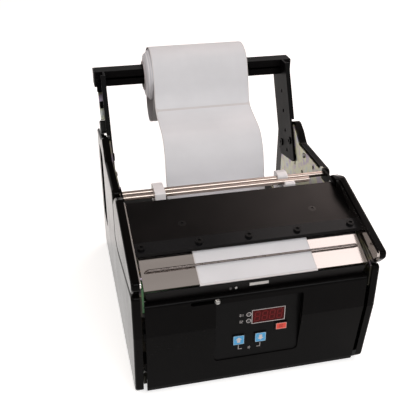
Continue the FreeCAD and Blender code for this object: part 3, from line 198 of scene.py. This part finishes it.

# Chassis plates, bottom tray, motor bracket and spacers.
# Zinc-plated steel sheet, cut and folded; the passivation leaves faint
# yellow-green and violet clouds over the silver, and cut edges are dull. A dark
# dulled zinc is also painted shade on the bottom tray and the plates' front faces.
zinc = finish("zinc_plated_steel_passivated", ("#7f7c8c", "#93968f", "#a2a182", "#8d8296", "#989793"), 16,
              (0.26, 0.42), metallic=1.0, grain_mm=0.8, grain=0.15)
plates = refine(zinc, "zinc_sheet", 0.2, "chassis_plate_left", "chassis_plate_right")
refine(zinc, "zinc_sheet", 0.2, "motor_bracket")
dress(zinc, "spacers")
dull_edge_and_shade = finish("zinc_dulled_edge_and_painted_shade", ("#2c2b27", "#3b3932"), 5, (0.5, 0.6), metallic=1.0,
                  grain_mm=0.5, grain=0.2)
# Painted shade: the whole bottom tray takes the dark zinc, as it lies in shadow behind the gaps.
refine(dull_edge_and_shade, "zinc_sheet", 0.2, "bottom_plate")
nose_start = -100
# Painted shade: the plates' front faces ahead of the nose take the dark zinc.
for plate in plates:
    paint(plate, dull_edge_and_shade, lambda centre, normal: normal.y < -0.6 and centre.y < nose_start)

# Arms and roll bar.
# Cut steel plate and square tube, stove-enamelled a matt black, like the
# ears of the chassis plates beside the lid's hinge.
matt_enamel = finish("black_stove_enamel_matt", ("#080708", "#0c0b0b"), 30, (0.36, 0.44), specular=0.03,
                     grain_mm=0.9, grain=0.1)
refine(matt_enamel, "black_sheet", 0.4, "arm_left", "arm_right", "roll_bar")
dress(matt_enamel, "arm_bolts")
ear_front, ear_rear, ear_foot = -60, -12, 138
ear_cuts = [((0, ear_rear, 0), (0, 1, 0)), ((0, 0, ear_foot), (0, 0, 1))]
for plate in plates:
    paint(plate, matt_enamel,
          lambda centre, normal: ear_front < centre.y < ear_rear and centre.z > ear_foot, ear_cuts)

# Lid, shelf and rear panel.
# Folded steel sheet with a satin black powder coat, which has a fine even
# grain and rounds the light softly; the lid's lower strip is glossier.
powder_coat = finish("black_powder_coat_satin", ("#080707", "#0d0b0b"), 30, (0.32, 0.4),
                     specular=0.1, grain_mm=0.9, grain=0.12)
refine(powder_coat, "black_sheet", 0.4, "front_shelf", "rear_panel")
lid_skin, = refine(powder_coat, "black_sheet", 0.4, "lid_cover")
strip_coat = finish("black_powder_coat_gloss", ("#0b0b0d", "#111113"), 30, (0.2, 0.28), specular=0.2,
                    grain_mm=0.9, grain=0.08)
paint(lid_skin, strip_coat, lambda centre, normal: normal.z > 0.6 and normal.y < -0.22)

# Small black parts: bar plugs, inlet, switch, sensor and display housings.
# Nylon and ABS straight from the mould, a dull even black; the steel blocks
# beside the arms are painted to match.
dull_black = finish("black_nylon_moulded", ("#0d0d0d", "#141414"), 12, (0.45, 0.55), specular=0.15,
                    grain_mm=0.5, grain=0.1)
refine(dull_black, "black_plastic", 0.25, "bar_plugs", "power_inlet", "power_rocker", "power_switch_frame",
       "label_sensor", "display_module")
refine(dull_black, "black_sheet", 0.4, "arm_stops")

# Label table and the lid's side plates.
# Polished stainless sheet with a faint grain across the machine. The front
# ends of the cheeks' inner faces are given it as a painted reflection, so
# they show bright; the right plate's top edge takes the lid's coat as painted
# shade that hides its highlight, and its rear is coated like the lid.
stainless = finish("stainless_sheet_polished", ("#c9c3c0", "#d4cfcc"), 40, (0.10, 0.16), metallic=1.0,
                   grain_mm=1.2, grain=0.05, stretch=(0.06, 1.0, 1.0))
refine(stainless, "polished_steel", 0.15, "lid_side_plate_left")
table, = refine(stainless, "polished_steel", 0.15, "label_table")
paint(table, dull_edge_and_shade, lambda centre, normal: normal.y < -0.8)
cheek_middle = 101
# Painted reflection: the cheeks' inner faces ahead of the nose take the bright stainless.
for cheek in cheeks:
    paint(cheek, stainless,
          lambda centre, normal: (abs(normal.x) > 0.9 and abs(centre.x) < cheek_middle
                                  and centre.y < nose_start),
          [((0, nose_start, 0), (0, 1, 0))])
right_plate, = refine(stainless, "polished_steel", 0.15, "lid_side_plate_right")
bright_end = -90
# Painted shade: the right plate's top edge takes the lid's black coat, which hides its highlight; its rear is
# coated like the lid.
paint(right_plate, powder_coat, lambda centre, normal: normal.z > 0.5 or centre.y > bright_end)

# Guide rods and hold-down wire.
# Drawn stainless bar with a warm grey shine; the bent spring wire is given
# a darker colour, a painted dark reflection of its surroundings.
bright_bar = finish("stainless_bar_drawn", ("#ab9e96", "#b6a9a1"), 40, (0.27, 0.3), metallic=1.0,
                    grain_mm=0.6, grain=0.03, stretch=(0.3, 1.0, 1.0))
refine(bright_bar, "polished_steel", 0.0, "guide_rods")
# The wire's darker colour is painted reflection: it stands in for the dark surroundings it mirrors.
spring_wire = finish("spring_wire_drawn", ("#5a5351", "#6c6562"), 6, (0.24, 0.32), metallic=1.0,
                     grain_mm=0.5, grain=0.05)
refine(spring_wire, "polished_steel", 0.0, "hold_down_wire")

# Shafts, pins, motor can, adjuster and plain screws.
# Turned free-cutting steel, lightly oiled.
turned_steel = finish("steel_turned", ("#8f8f8e", "#a5a4a1"), 8, (0.25, 0.36), metallic=1.0,
                      grain_mm=0.4, grain=0.08)
dress(turned_steel, "drive_shaft", "pinch_shaft", "hinge_pins", "small_screws", "gear_motor",
      "motor_pinion", "sensor_adjuster")

# Lid screws.
# Socket and flush screws with a black oxide finish, nearly as dark as the lid.
black_oxide = finish("steel_black_oxide", ("#0b0b0b", "#131213"), 4, (0.3, 0.4), specular=0.16,
                     grain_mm=0.4, grain=0.05)
dress(black_oxide, "lid_screws")

# Bushes and drive gear.
# Machined brass, for the bushes as for the gear.
brass = finish("brass_machined", ("#a98245", "#b99557"), 10, (0.25, 0.35), metallic=1.0,
               grain_mm=0.5, grain=0.1)
dress(brass, "roller_bushes", "drive_gear")

# Rollers and feet.
# Black rubber sleeves, ground, and moulded rubber feet.
rubber = finish("nitrile_rubber_ground", ("#161616", "#202020"), 9, (0.6, 0.75), specular=0.35,
                grain_mm=0.5, grain=0.3)
dress(rubber, "drive_roller_sleeve", "pinch_roller_sleeve", "rubber_feet")

# Felt pad under the lid.
# Grey pressed wool felt, glued in, which holds the web flat.
felt = finish("wool_felt_pressed", ("#4c4b4a", "#5f5e5c"), 3, (0.9, 1.0), specular=0.1,
              grain_mm=0.7, grain=0.8)
dress(felt, "lid_felt")

# Circuit boards and what is soldered to them.
# Green solder mask on glass epoxy; capacitors and plugs are dark plastic.
solder_mask = finish("glass_epoxy_green_mask", ("#144a1c", "#1d5f27"), 6, (0.25, 0.35),
                     grain_mm=0.8, grain=0.1)
dress(solder_mask, "side_board", "control_board", "main_board")
dress(dull_black, "board_parts")

# Web guides.
# Two white acetal blocks that slide on the rods and keep the web in line.
acetal = finish("white_acetal_machined", ("#dedcde", "#e8e6e8"), 9, (0.3, 0.4), grain_mm=0.6, grain=0.05)
refine(acetal, "white_plastic", 0.5, "guide_left", "guide_right")

# Core, roll and waste paper.
# Semi-gloss label paper wound on a card core, its end faces showing the turns;
# the empty backing paper is smooth glassine and leaves at the rear.
label_paper = finish("label_paper_semi_gloss", ("#d9dade", "#e1e2e6"), 45, (0.5, 0.58), specular=0.3,
                     grain_mm=1.5, grain=0.04)
glassine = finish("backing_glassine", ("#cfcccd", "#d8d5d6"), 30, (0.35, 0.45), grain_mm=2, grain=0.04)
card = finish("core_card_spiral_wound", ("#b5aeb0", "#c4bfc1"), 6, (0.8, 0.9), specular=0.2,
              grain_mm=0.8, grain=0.3)
refine(glassine, "backing_paper", 0.0, "waste_liner")
refine(card, "core_card", 0.0, "label_core")
roll_low, roll_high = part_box("label_roll")
axle = ((roll_low.y + roll_high.y) / 2, (roll_low.z + roll_high.z) / 2)
turn_step = 1.1 * MM
wave_rate = 20  # a wave texture turns this many radians per unit of scale and length
wound, tree, output = new_material("label_paper_roll_turns")
place = add(tree, "ShaderNodeTexCoord")
centred = add(tree, "ShaderNodeMapping", {"Location": (0.0, -axle[0], -axle[1])},
              {"Vector": place.outputs["Object"]})
turns = add(tree, "ShaderNodeTexWave",
            {"Scale": 1 / (wave_rate * turn_step) * math.pi, "Distortion": 0.6, "Detail": 2.0},
            {"Vector": centred.outputs["Vector"]}, wave_type="RINGS", rings_direction="X")
shade = add(tree, "ShaderNodeValToRGB", None, {"Fac": turns.outputs["Fac"]})
shade.color_ramp.elements[0].color = linear("#c6c8d0")
shade.color_ramp.elements[1].color = linear("#e2e1e5")
bump = add(tree, "ShaderNodeBump", {"Strength": 0.25, "Distance": 0.2 * MM},
           {"Height": turns.outputs["Fac"]})
shader = add(tree, "ShaderNodeBsdfPrincipled", {"Roughness": 0.55, "Specular IOR Level": 0.3},
             {"Base Color": shade.outputs["Color"], "Normal": bump.outputs["Normal"]})
tree.links.new(shader.outputs["BSDF"], output.inputs["Surface"])
refine(wound, "label_paper", 0.0, "label_roll")


# Label web with its labels.
# One loose turn round the roll, then down between roll and rods and over the
# table; die-cut labels with round corners lie on the backing, a gap between them.
lanes = 9             # points across the web
fair_steps = 6        # points on each piece of the smooth path
web_rows = 260        # cross lines of the backing
fine_rows = 400       # samples along a label's path
corner_rows = 6       # cross lines on a label's round corner
straight_rows = 70    # and between its corners
web_half = 50.0
backing_sheet = 0.2
label_sheet = 0.16
label_margin = 0.9
label_corner = 3.0
label_gap = 2.6
first_gap = 241.5
front_label = 34.4    # from the last gap to the peel edge
shortest_label = 8


def through(points, steps):
    """Smooth path through the points: Catmull-Rom, p(t) = half of 2b + (c - a)t + (2a - 5b + 4c - d)t^2
    + (3b - a - 3c + d)t^3, for each run of four points."""
    p = np.vstack([points[:1], points, points[-1:]])
    a, b, c, d = (p[i:len(p) - 3 + i, None, :] for i in range(4))
    t = np.linspace(0, 1, steps, endpoint=False)[None, :, None]
    run = 0.5 * (2 * b + (c - a) * t + (2 * a - 5 * b + 4 * c - d) * t ** 2
                 + (3 * b - a - 3 * c + d) * t ** 3)
    return np.vstack([run.reshape(-1, 2), points[-1:]])


def sheet_mesh(name, centre, tops, half, lean):
    """Thin strip: a closed section of the path and its offset, carried across X with the given half
    widths; lean moves each cross line sideways."""
    rows = len(centre)
    across = np.linspace(-1, 1, lanes)
    x = across[None, :] * half[:, None] + lean[:, None]
    lower, upper = (np.dstack([x, np.repeat(line[:, :1], lanes, 1), np.repeat(line[:, 1:], lanes, 1)])
                    for line in (centre, tops))
    points = np.vstack([lower.reshape(-1, 3), upper.reshape(-1, 3)]) * MM
    i, j = np.meshgrid(np.arange(rows - 1), np.arange(lanes - 1), indexing="ij")
    a = (i * lanes + j).ravel()
    low = np.column_stack([a, a + 1, a + lanes + 1, a + lanes])
    layer = rows * lanes
    high = low[:, ::-1] + layer
    edge = np.concatenate([np.arange(lanes), np.arange(1, rows) * lanes + lanes - 1,
                           np.arange(lanes - 2, -1, -1) + (rows - 1) * lanes,
                           np.arange(rows - 2, 0, -1) * lanes])
    after = np.roll(edge, -1)
    walls = np.column_stack([after, edge, edge + layer, after + layer])
    mesh = bpy.data.meshes.new(name)
    mesh.from_pydata(points.tolist(), [], np.vstack([low, high, walls]).tolist())
    work = bmesh.new()
    work.from_mesh(mesh)
    bmesh.ops.recalc_face_normals(work, faces=work.faces)
    work.to_mesh(mesh)
    work.free()
    mesh.shade_smooth()
    mesh.set_sharp_from_angle(angle=math.radians(40))
    return mesh


def path_part(path, start, stop, count):
    """Points and unit side normals of a path between two distances along it; each direction is
    taken between the points look mm ahead and look mm behind."""
    look = 0.5
    steps = np.hypot(*np.diff(path, axis=0).T)
    reach = np.concatenate([[0.0], np.cumsum(steps)])
    at = np.linspace(start, stop, count)
    here = np.column_stack([np.interp(at, reach, path[:, k]) for k in (0, 1)])
    ahead = np.column_stack([np.interp(at + look, reach, path[:, k]) for k in (0, 1)])
    behind = np.column_stack([np.interp(at - look, reach, path[:, k]) for k in (0, 1)])
    way = ahead - behind
    way /= np.hypot(*way.T)[:, None]
    return here, np.column_stack([way[:, 1], -way[:, 0]])


web_points = np.array([
    (99.2, 205.0), (102.0, 182.0), (111.0, 163.0), (126.0, 155.5), (142.0, 163.0), (152.5, 184.0),
    (154.6, 208.0), (146.0, 228.0), (127.0, 234.8), (108.0, 228.0), (99.0, 210.0), (93.0, 193.0),
    (84.5, 181.0), (66.0, 175.0), (46.0, 169.5), (32.0, 157.0), (24.0, 141.0), (20.0, 126.0),
    (15.0, 113.0), (5.0, 107.0), (-5.0, 113.0), (-10.5, 125.0), (-17.0, 134.8), (-26.5, 138.6)])
table_line = np.array([(-31.0, 140.2), (-36.0, 139.8), (-98.0, 131.0), (-129.8, 117.9)])
web_path = np.vstack([through(web_points, fair_steps), table_line])
web_length = np.hypot(*np.diff(web_path, axis=0).T).sum()
label_pitch = (web_length - front_label - first_gap) / 2


def web_lean(points):
    """Sideways drift of the web, all of it between the table's height and the lower roll."""
    drift, start, rise = 2.5, 140.0, 60.0
    return drift * np.clip((points[:, 1] - start) / rise, 0.0, 1.0)


def label_mesh(name, start, stop):
    """One label on the backing between two distances along the web; its cross lines are closer at the
    corners, where its half width shrinks by r - sqrt(r^2 - (r - inset)^2)."""
    curve = np.linspace(0, math.pi / 2, corner_rows)
    at = np.concatenate([start + label_corner * (1 - np.cos(curve)),
                         np.linspace(start + label_corner, stop - label_corner, straight_rows)[1:-1],
                         stop - label_corner * (1 - np.cos(curve[::-1]))])
    line, way = path_part(web_path, start, stop, fine_rows)
    pick_at = (at - start) / (stop - start) * (fine_rows - 1)
    line, way = (np.column_stack([np.interp(pick_at, np.arange(fine_rows), part[:, k]) for k in (0, 1)])
                 for part in (line, way))
    inset = np.minimum(at - start, stop - at).clip(0, label_corner)
    shrink = label_corner - np.sqrt(label_corner ** 2 - (label_corner - inset) ** 2)
    return sheet_mesh(name, line + way * backing_sheet, line + way * (backing_sheet + label_sheet),
                      web_half - label_margin - shrink, web_lean(line))


middle_line, side_way = path_part(web_path, 0.0, web_length, web_rows)
backing = sheet_mesh("web_backing", middle_line, middle_line + side_way * backing_sheet,
                     np.full(web_rows, web_half), web_lean(middle_line))
backing.materials.append(glassine)
web = settle(bpy.data.objects.new("web_backing", backing), "base")
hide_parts("label_web")
for number in range(6):
    start = first_gap + (number - 3) * label_pitch + label_gap
    stop = min(start + label_pitch - label_gap, web_length)
    start = max(start, 1.0)
    if stop - start < shortest_label:
        continue
    label = label_mesh(f"label_{number}", start, stop)
    label.materials.append(label_paper)
    settle(bpy.data.objects.new(f"label_{number}", label), "base")


# Control field: printed overlay, window with its digits, keys and lamps.
# Matt polyester film over the recess, screen-printed in white; the keys are
# coloured caps that stand a little proud of it.
film = finish("polyester_film_matt_black", ("#090909", "#0c0b0c"), 25, (0.32, 0.38), specular=0.06,
              grain_mm=0.5, grain=0.05)
red_acrylic = finish("acrylic_deep_red", ("#420507", "#4f080a"), 9, (0.12, 0.18), specular=0.1,
                     grain_mm=3, grain=0.02)
blue_cap = finish("key_cap_sky_blue", ("#3f9fd6", "#52ace0"), 3, (0.3, 0.4), specular=0.4,
                  grain_mm=0.6, grain=0.05)
red_cap = finish("key_cap_coral_red", ("#df4030", "#e84c3a"), 3, (0.3, 0.4), specular=0.4,
                 grain_mm=0.6, grain=0.05)
smoke = finish("lamp_lens_smoke", ("#1a1718", "#221e20"), 2, (0.15, 0.2), grain_mm=1, grain=0.02)
white_ink, pale_ink, pink_ink, dark_ink = (
    finish("screen_ink_" + name, colours, 4, (0.5, 0.6), grain_mm=0.4, grain=0.05)
    for name, colours in (("white", ("#c9c3c3", "#d4cfcf")), ("pale_blue", ("#9fcdec", "#b4d8f0")),
                          ("pale_pink", ("#e9a79c", "#f0b4aa")), ("dark_red", ("#8e1f16", "#9c271c"))))
digit_red = finish("display_segment_dim_red", ("#651012", "#701315"), 2, (0.3, 0.4), specular=0.1,
                   grain_mm=0.4, grain=0.05)
dress(film, "membrane_overlay")
dress(red_acrylic, "display_window")
border_ink = finish("screen_ink_black", ("#0a0a0a", "#0e0d0d"), 4, (0.4, 0.5), specular=0.1,
                    grain_mm=0.4, grain=0.05)
caps = refine(blue_cap, "blue_key", 0.4, "key_up", "key_down") + refine(red_cap, "red_key", 0.4, "key_reset")
for cap in caps:
    paint(cap, border_ink, lambda centre, normal: normal.y > -0.9)
dress(smoke, "indicator_lamps")


def band(points, width, closed=False):
    """Flat line of one width through the points: each corner is mitred, so its offset is
    half the width over the cosine of half the turn."""
    p = np.array(points, float)
    if closed:
        before, after = p - np.roll(p, 1, 0), np.roll(p, -1, 0) - p
    else:
        steps = np.diff(p, axis=0)
        before, after = np.vstack([steps[:1], steps]), np.vstack([steps, steps[-1:]])
    before /= np.hypot(*before.T)[:, None]
    after /= np.hypot(*after.T)[:, None]
    side = np.column_stack([-(before + after)[:, 1], (before + after)[:, 0]])
    side /= np.hypot(*side.T)[:, None]
    cosine = np.abs(side[:, 0] * -after[:, 1] + side[:, 1] * after[:, 0])
    off = side * (width / 2 / np.maximum(cosine, 0.3))[:, None]
    count = len(p)
    i = np.arange(count if closed else count - 1)
    j = (i + 1) % count
    return np.vstack([p - off, p + off]), np.column_stack([i, j, j + count, i + count])


def print_on(name, shapes, face_y, material, body):
    """Ink on an upright face: flat shapes in X and Z, given a small thickness towards the front."""
    thick, stand_off = 0.03, 0.02
    points, faces, count = [], [], 0
    for outline, quads in shapes:
        points.append(outline)
        faces.append(np.asarray(quads) + count)
        count += len(outline)
    flat = np.vstack(points)
    place = np.column_stack([flat[:, 0], np.full(len(flat), face_y - stand_off), flat[:, 1]]) * MM
    mesh = bpy.data.meshes.new(name)
    mesh.from_pydata(place.tolist(), [], [list(map(int, f)) for group in faces for f in group])
    mesh.materials.append(material)
    work = bmesh.new()
    work.from_mesh(mesh)
    for face in work.faces:
        if face.normal.y > 0:
            face.normal_flip()
    work.to_mesh(mesh)
    work.free()
    piece = settle(bpy.data.objects.new(name, mesh), body)
    body_of_ink = piece.modifiers.new("thickness", "SOLIDIFY")
    body_of_ink.thickness = thick * MM
    body_of_ink.offset = 1.0
    return piece


def ring(x, z, radius, width):
    """Circle of one line width about a point."""
    t = np.linspace(0, 2 * math.pi, 28, endpoint=False)
    return band(np.column_stack([x + radius * np.cos(t), z + radius * np.sin(t)]), width, True)


def figure(text, x, z, high, width):
    """Plain figures drawn from seven strokes each, from a left lower corner."""
    wide, slant = high * 0.46, high * 0.08
    ends = {"a": ((0, 1), (1, 1)), "b": ((1, 1), (1, 0.5)), "c": ((1, 0.5), (1, 0)), "d": ((0, 0), (1, 0)),
            "e": ((0, 0), (0, 0.5)), "f": ((0, 0.5), (0, 1)), "g": ((0, 0.5), (1, 0.5))}
    strokes = {"0": "abcdef", "1": "bc", "2": "abged", "8": "abcdefg"}
    shapes = []
    for k, sign in enumerate(text):
        left = x + k * wide * 1.58
        for stroke in strokes[sign]:
            start, stop = (np.array((left + u * wide + v * slant, z + v * high)) for u, v in ends[stroke])
            trim = (stop - start) / np.hypot(*(stop - start)) * width * 0.35
            shapes.append(band([start + trim, stop - trim], width))
    return shapes


film_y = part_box("membrane_overlay")[0].y / MM
window_low, window_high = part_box("display_window")
x0, x1, z0, z1 = (value / MM for value in (window_low.x, window_high.x, window_low.z, window_high.z))
margin, frame_width, leader_width = 0.3, 0.5, 0.45
figure_high, figure_width = 2.2, 0.34
leader_top, leader_foot = 44.4, 40.2
printed = [band([(x0 - margin, z0 - margin), (x1 + margin, z0 - margin), (x1 + margin, z1 + margin),
                 (x0 - margin, z1 + margin)], frame_width, True)]
printed += [ring(-6.5, z, 1.95, frame_width) for z in (76.8, 69.8)]
for text, x, z in (("01", -14.5, 75.7), ("02", -14.5, 68.7)):
    printed += figure(text, x, z, figure_high, figure_width)
for x, inner in ((-15.0, -11.8), (4.6, 1.4)):
    printed.append(band([(x, leader_top), (x, leader_foot), (inner, leader_foot)], leader_width))
printed += figure("10", -7.2, 39.2, figure_high, figure_width)
print_on("overlay_print", printed, film_y, white_ink, "base")
digit_h = (z1 - z0) * 0.68
digits = figure("8888", x0 + 2.0, z0 + (z1 - z0) * 0.16, digit_h, 1.0)
print_on("display_digits", digits, film_y, digit_red, "base")


def cap_frame(low, high):
    """Pale frame line 1 mm inside a cap's edge, and the black border outside it; the cap's box
    counts its flange, which stands out 1 mm behind the overlay."""
    lines = []
    for inset, width in ((2.0, 0.5), (1.42, 0.8)):
        u0, u1, v0, v1 = low.x / MM + inset, high.x / MM - inset, low.z / MM + inset, high.z / MM - inset
        lines.append(band([(u0, v0), (u1, v0), (u1, v1), (u0, v1)], width, True))
    return lines


for node, body, way in (("key_up", "up_key", 1), ("key_down", "down_key", -1)):
    low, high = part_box(node)
    x, z = (low.x + high.x) / 2 / MM, (low.z + high.z) / 2 / MM
    cap_y = low.y / MM
    rim_line, border = cap_frame(low, high)
    arrow = np.array([(-3.2, 0.4), (0.0, 3.4), (3.2, 0.4),
                      (1.6, 0.4), (1.6, -3.0), (-1.6, -3.0), (-1.6, 0.4)])
    arrow = arrow * (0.9, 0.9 * way) + (x, z)
    head = (arrow, [(0, 2, 1), (3, 4, 5), (3, 5, 6)])
    print_on(node + "_print", [rim_line], cap_y, pale_ink, body)
    print_on(node + "_border", [border], cap_y, border_ink, body)
    print_on(node + "_arrow", [head], cap_y, white_ink, body)
low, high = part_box("key_reset")
x, z = (low.x + high.x) / 2 / MM, (low.z + high.z) / 2 / MM
rim_line, border = cap_frame(low, high)
print_on("key_reset_frame", [rim_line], low.y / MM, pink_ink, "red_key")
print_on("key_reset_border", [border], low.y / MM, border_ink, "red_key")
zeros = figure("00", x - 1.9, z - 1.3, 2.6, 0.5)
print_on("key_reset_print", zeros, low.y / MM, dark_ink, "red_key")

# Sensor in the front shelf.
# Two turned lens rims and a brushed aluminium plate let into the shelf.
lens_metal = finish("aluminium_brushed", ("#949290", "#a6a4a2"), 4, (0.28, 0.38), metallic=1.0,
                    grain_mm=0.5, grain=0.05)
lens_dark = finish("lens_smoked", ("#2a2828", "#383535"), 4, (0.2, 0.3), grain_mm=0.5, grain=0.05)
sensor, = refine(lens_metal, "lamp_white", 0.0, "sensor_optics")
low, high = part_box("sensor_optics")
lens_width = 2.2
paint(sensor, lens_dark, lambda centre, normal: centre.x < low.x / MM + lens_width)

# Studio: a pale floor with a curved wall all round, soft boxes behind and above
# to the right and to the left, a ceiling card and a broad front fill, as for a
# packshot. The floor keeps the shadow and shows white.
spokes = 64
bend_start, bend_r, wall_top = 5.0, 2.0, 3.4
floor_lift, room_light = 0.62, 0.3
floor_mesh = bpy.data.meshes.new("studio_floor")
bend = np.linspace(0, math.pi / 2, 9)
reach = np.concatenate([[0.01, 1.5, 3.0], bend_start + bend_r * np.sin(bend), [bend_start + bend_r]])
rise = np.concatenate([[0.0, 0.0, 0.0], bend_r * (1 - np.cos(bend)), [wall_top]])
around = np.linspace(0, 2 * math.pi, spokes, endpoint=False)
grid = np.stack([reach[:, None] * np.cos(around), reach[:, None] * np.sin(around),
                 np.repeat(rise[:, None], spokes, 1)], 2)
i, j = np.meshgrid(np.arange(len(reach) - 1), np.arange(spokes), indexing="ij")
k = (j + 1) % spokes
quads = np.column_stack([(i * spokes + j).ravel(), ((i + 1) * spokes + j).ravel(),
                         ((i + 1) * spokes + k).ravel(), (i * spokes + k).ravel()])
floor_mesh.from_pydata(grid.reshape(-1, 3).tolist(), [], quads.tolist() + [list(range(spokes))])
floor_mesh.shade_smooth()
floor = bpy.data.objects.new("studio_floor", floor_mesh)
bpy.context.scene.collection.objects.link(floor)
floor_paint, tree, output = new_material("studio_floor_white")
diffuse = add(tree, "ShaderNodeBsdfDiffuse", {"Color": linear("#f2f1f0")})
lift = add(tree, "ShaderNodeEmission", {"Color": (1.0, 1.0, 1.0, 1.0), "Strength": floor_lift})
path = add(tree, "ShaderNodeLightPath")
seen = add(tree, "ShaderNodeMath", None, {0: path.outputs["Is Camera Ray"], 1: path.outputs["Is Glossy Ray"]},
           operation="MAXIMUM")
seen = add(tree, "ShaderNodeMath", None, {0: seen.outputs[0], 1: path.outputs["Is Transmission Ray"]},
           operation="MAXIMUM")
both = add(tree, "ShaderNodeAddShader", None, {0: diffuse.outputs[0], 1: lift.outputs[0]})
pick = add(tree, "ShaderNodeMixShader", None, {0: seen.outputs[0], 1: diffuse.outputs[0], 2: both.outputs[0]})
tree.links.new(pick.outputs[0], output.inputs["Surface"])
floor_mesh.materials.append(floor_paint)

world = bpy.data.worlds.new("studio")
world.use_nodes = True
bpy.context.scene.world = world
tree = world.node_tree
tree.nodes.clear()
room = add(tree, "ShaderNodeBackground", {"Color": linear("#b5aca8"), "Strength": room_light})
add(tree, "ShaderNodeOutputWorld", None, {"Surface": room.outputs[0]})


def soft_box(name, place, aim, wide, high, watts, colour):
    """Rectangular lamp at a place, turned to face the aim point."""
    lamp = bpy.data.lights.new(name, "AREA")
    lamp.shape = "RECTANGLE"
    lamp.size = wide
    lamp.size_y = high
    lamp.energy = watts
    lamp.color = linear(colour)[:3]
    holder = bpy.data.objects.new(name, lamp)
    bpy.context.scene.collection.objects.link(holder)
    holder.location = place
    holder.rotation_euler = (Vector(aim) - Vector(place)).to_track_quat("-Z", "Y").to_euler()


middle = (0.0, 0.0, 0.08)
soft_box("soft_box_rear_right", (1.0, 1.15, 1.3), middle, 0.9, 0.7, 9, "#ffe9e2")
soft_box("soft_box_above_right", (0.92, 0.16, 1.5), (0.3, 0.0, 0.1), 1.1, 0.9, 4.0, "#fff4f2")
soft_box("soft_box_left", (-1.3, -0.3, 1.1), middle, 0.9, 1.1, 9, "#fff6ee")
soft_box("ceiling_card", (0.0, 0.3, 2.4), middle, 2.4, 2.2, 4.4, "#fff8f2")
soft_box("front_fill", (0.3, -1.7, 1.5), middle, 1.4, 0.8, 22, "#ffffff")

# Camera: 59 mm lens a little left of the front, looking down about thirty
# degrees; its place and angles were fitted to the object's edges.
lens_px = 681.3
frame_px = 416.0
turn = math.radians(-13.14)
tilt = math.radians(29.78)
roll = math.radians(-0.30)
camera = bpy.data.cameras.new("packshot")
camera.sensor_width = 36.0
camera.lens = lens_px / frame_px * camera.sensor_width
camera.shift_x = -0.4 / frame_px
camera.shift_y = -0.7 / frame_px
camera.clip_start = 0.02
eye = bpy.data.objects.new("packshot", camera)
bpy.context.scene.collection.objects.link(eye)
eye.location = (-0.1456, -0.5621, 0.4424)
eye.rotation_euler = (math.pi / 2 - tilt, roll, turn)
bpy.context.scene.camera = eye
bpy.context.scene.view_settings.view_transform = "Standard"
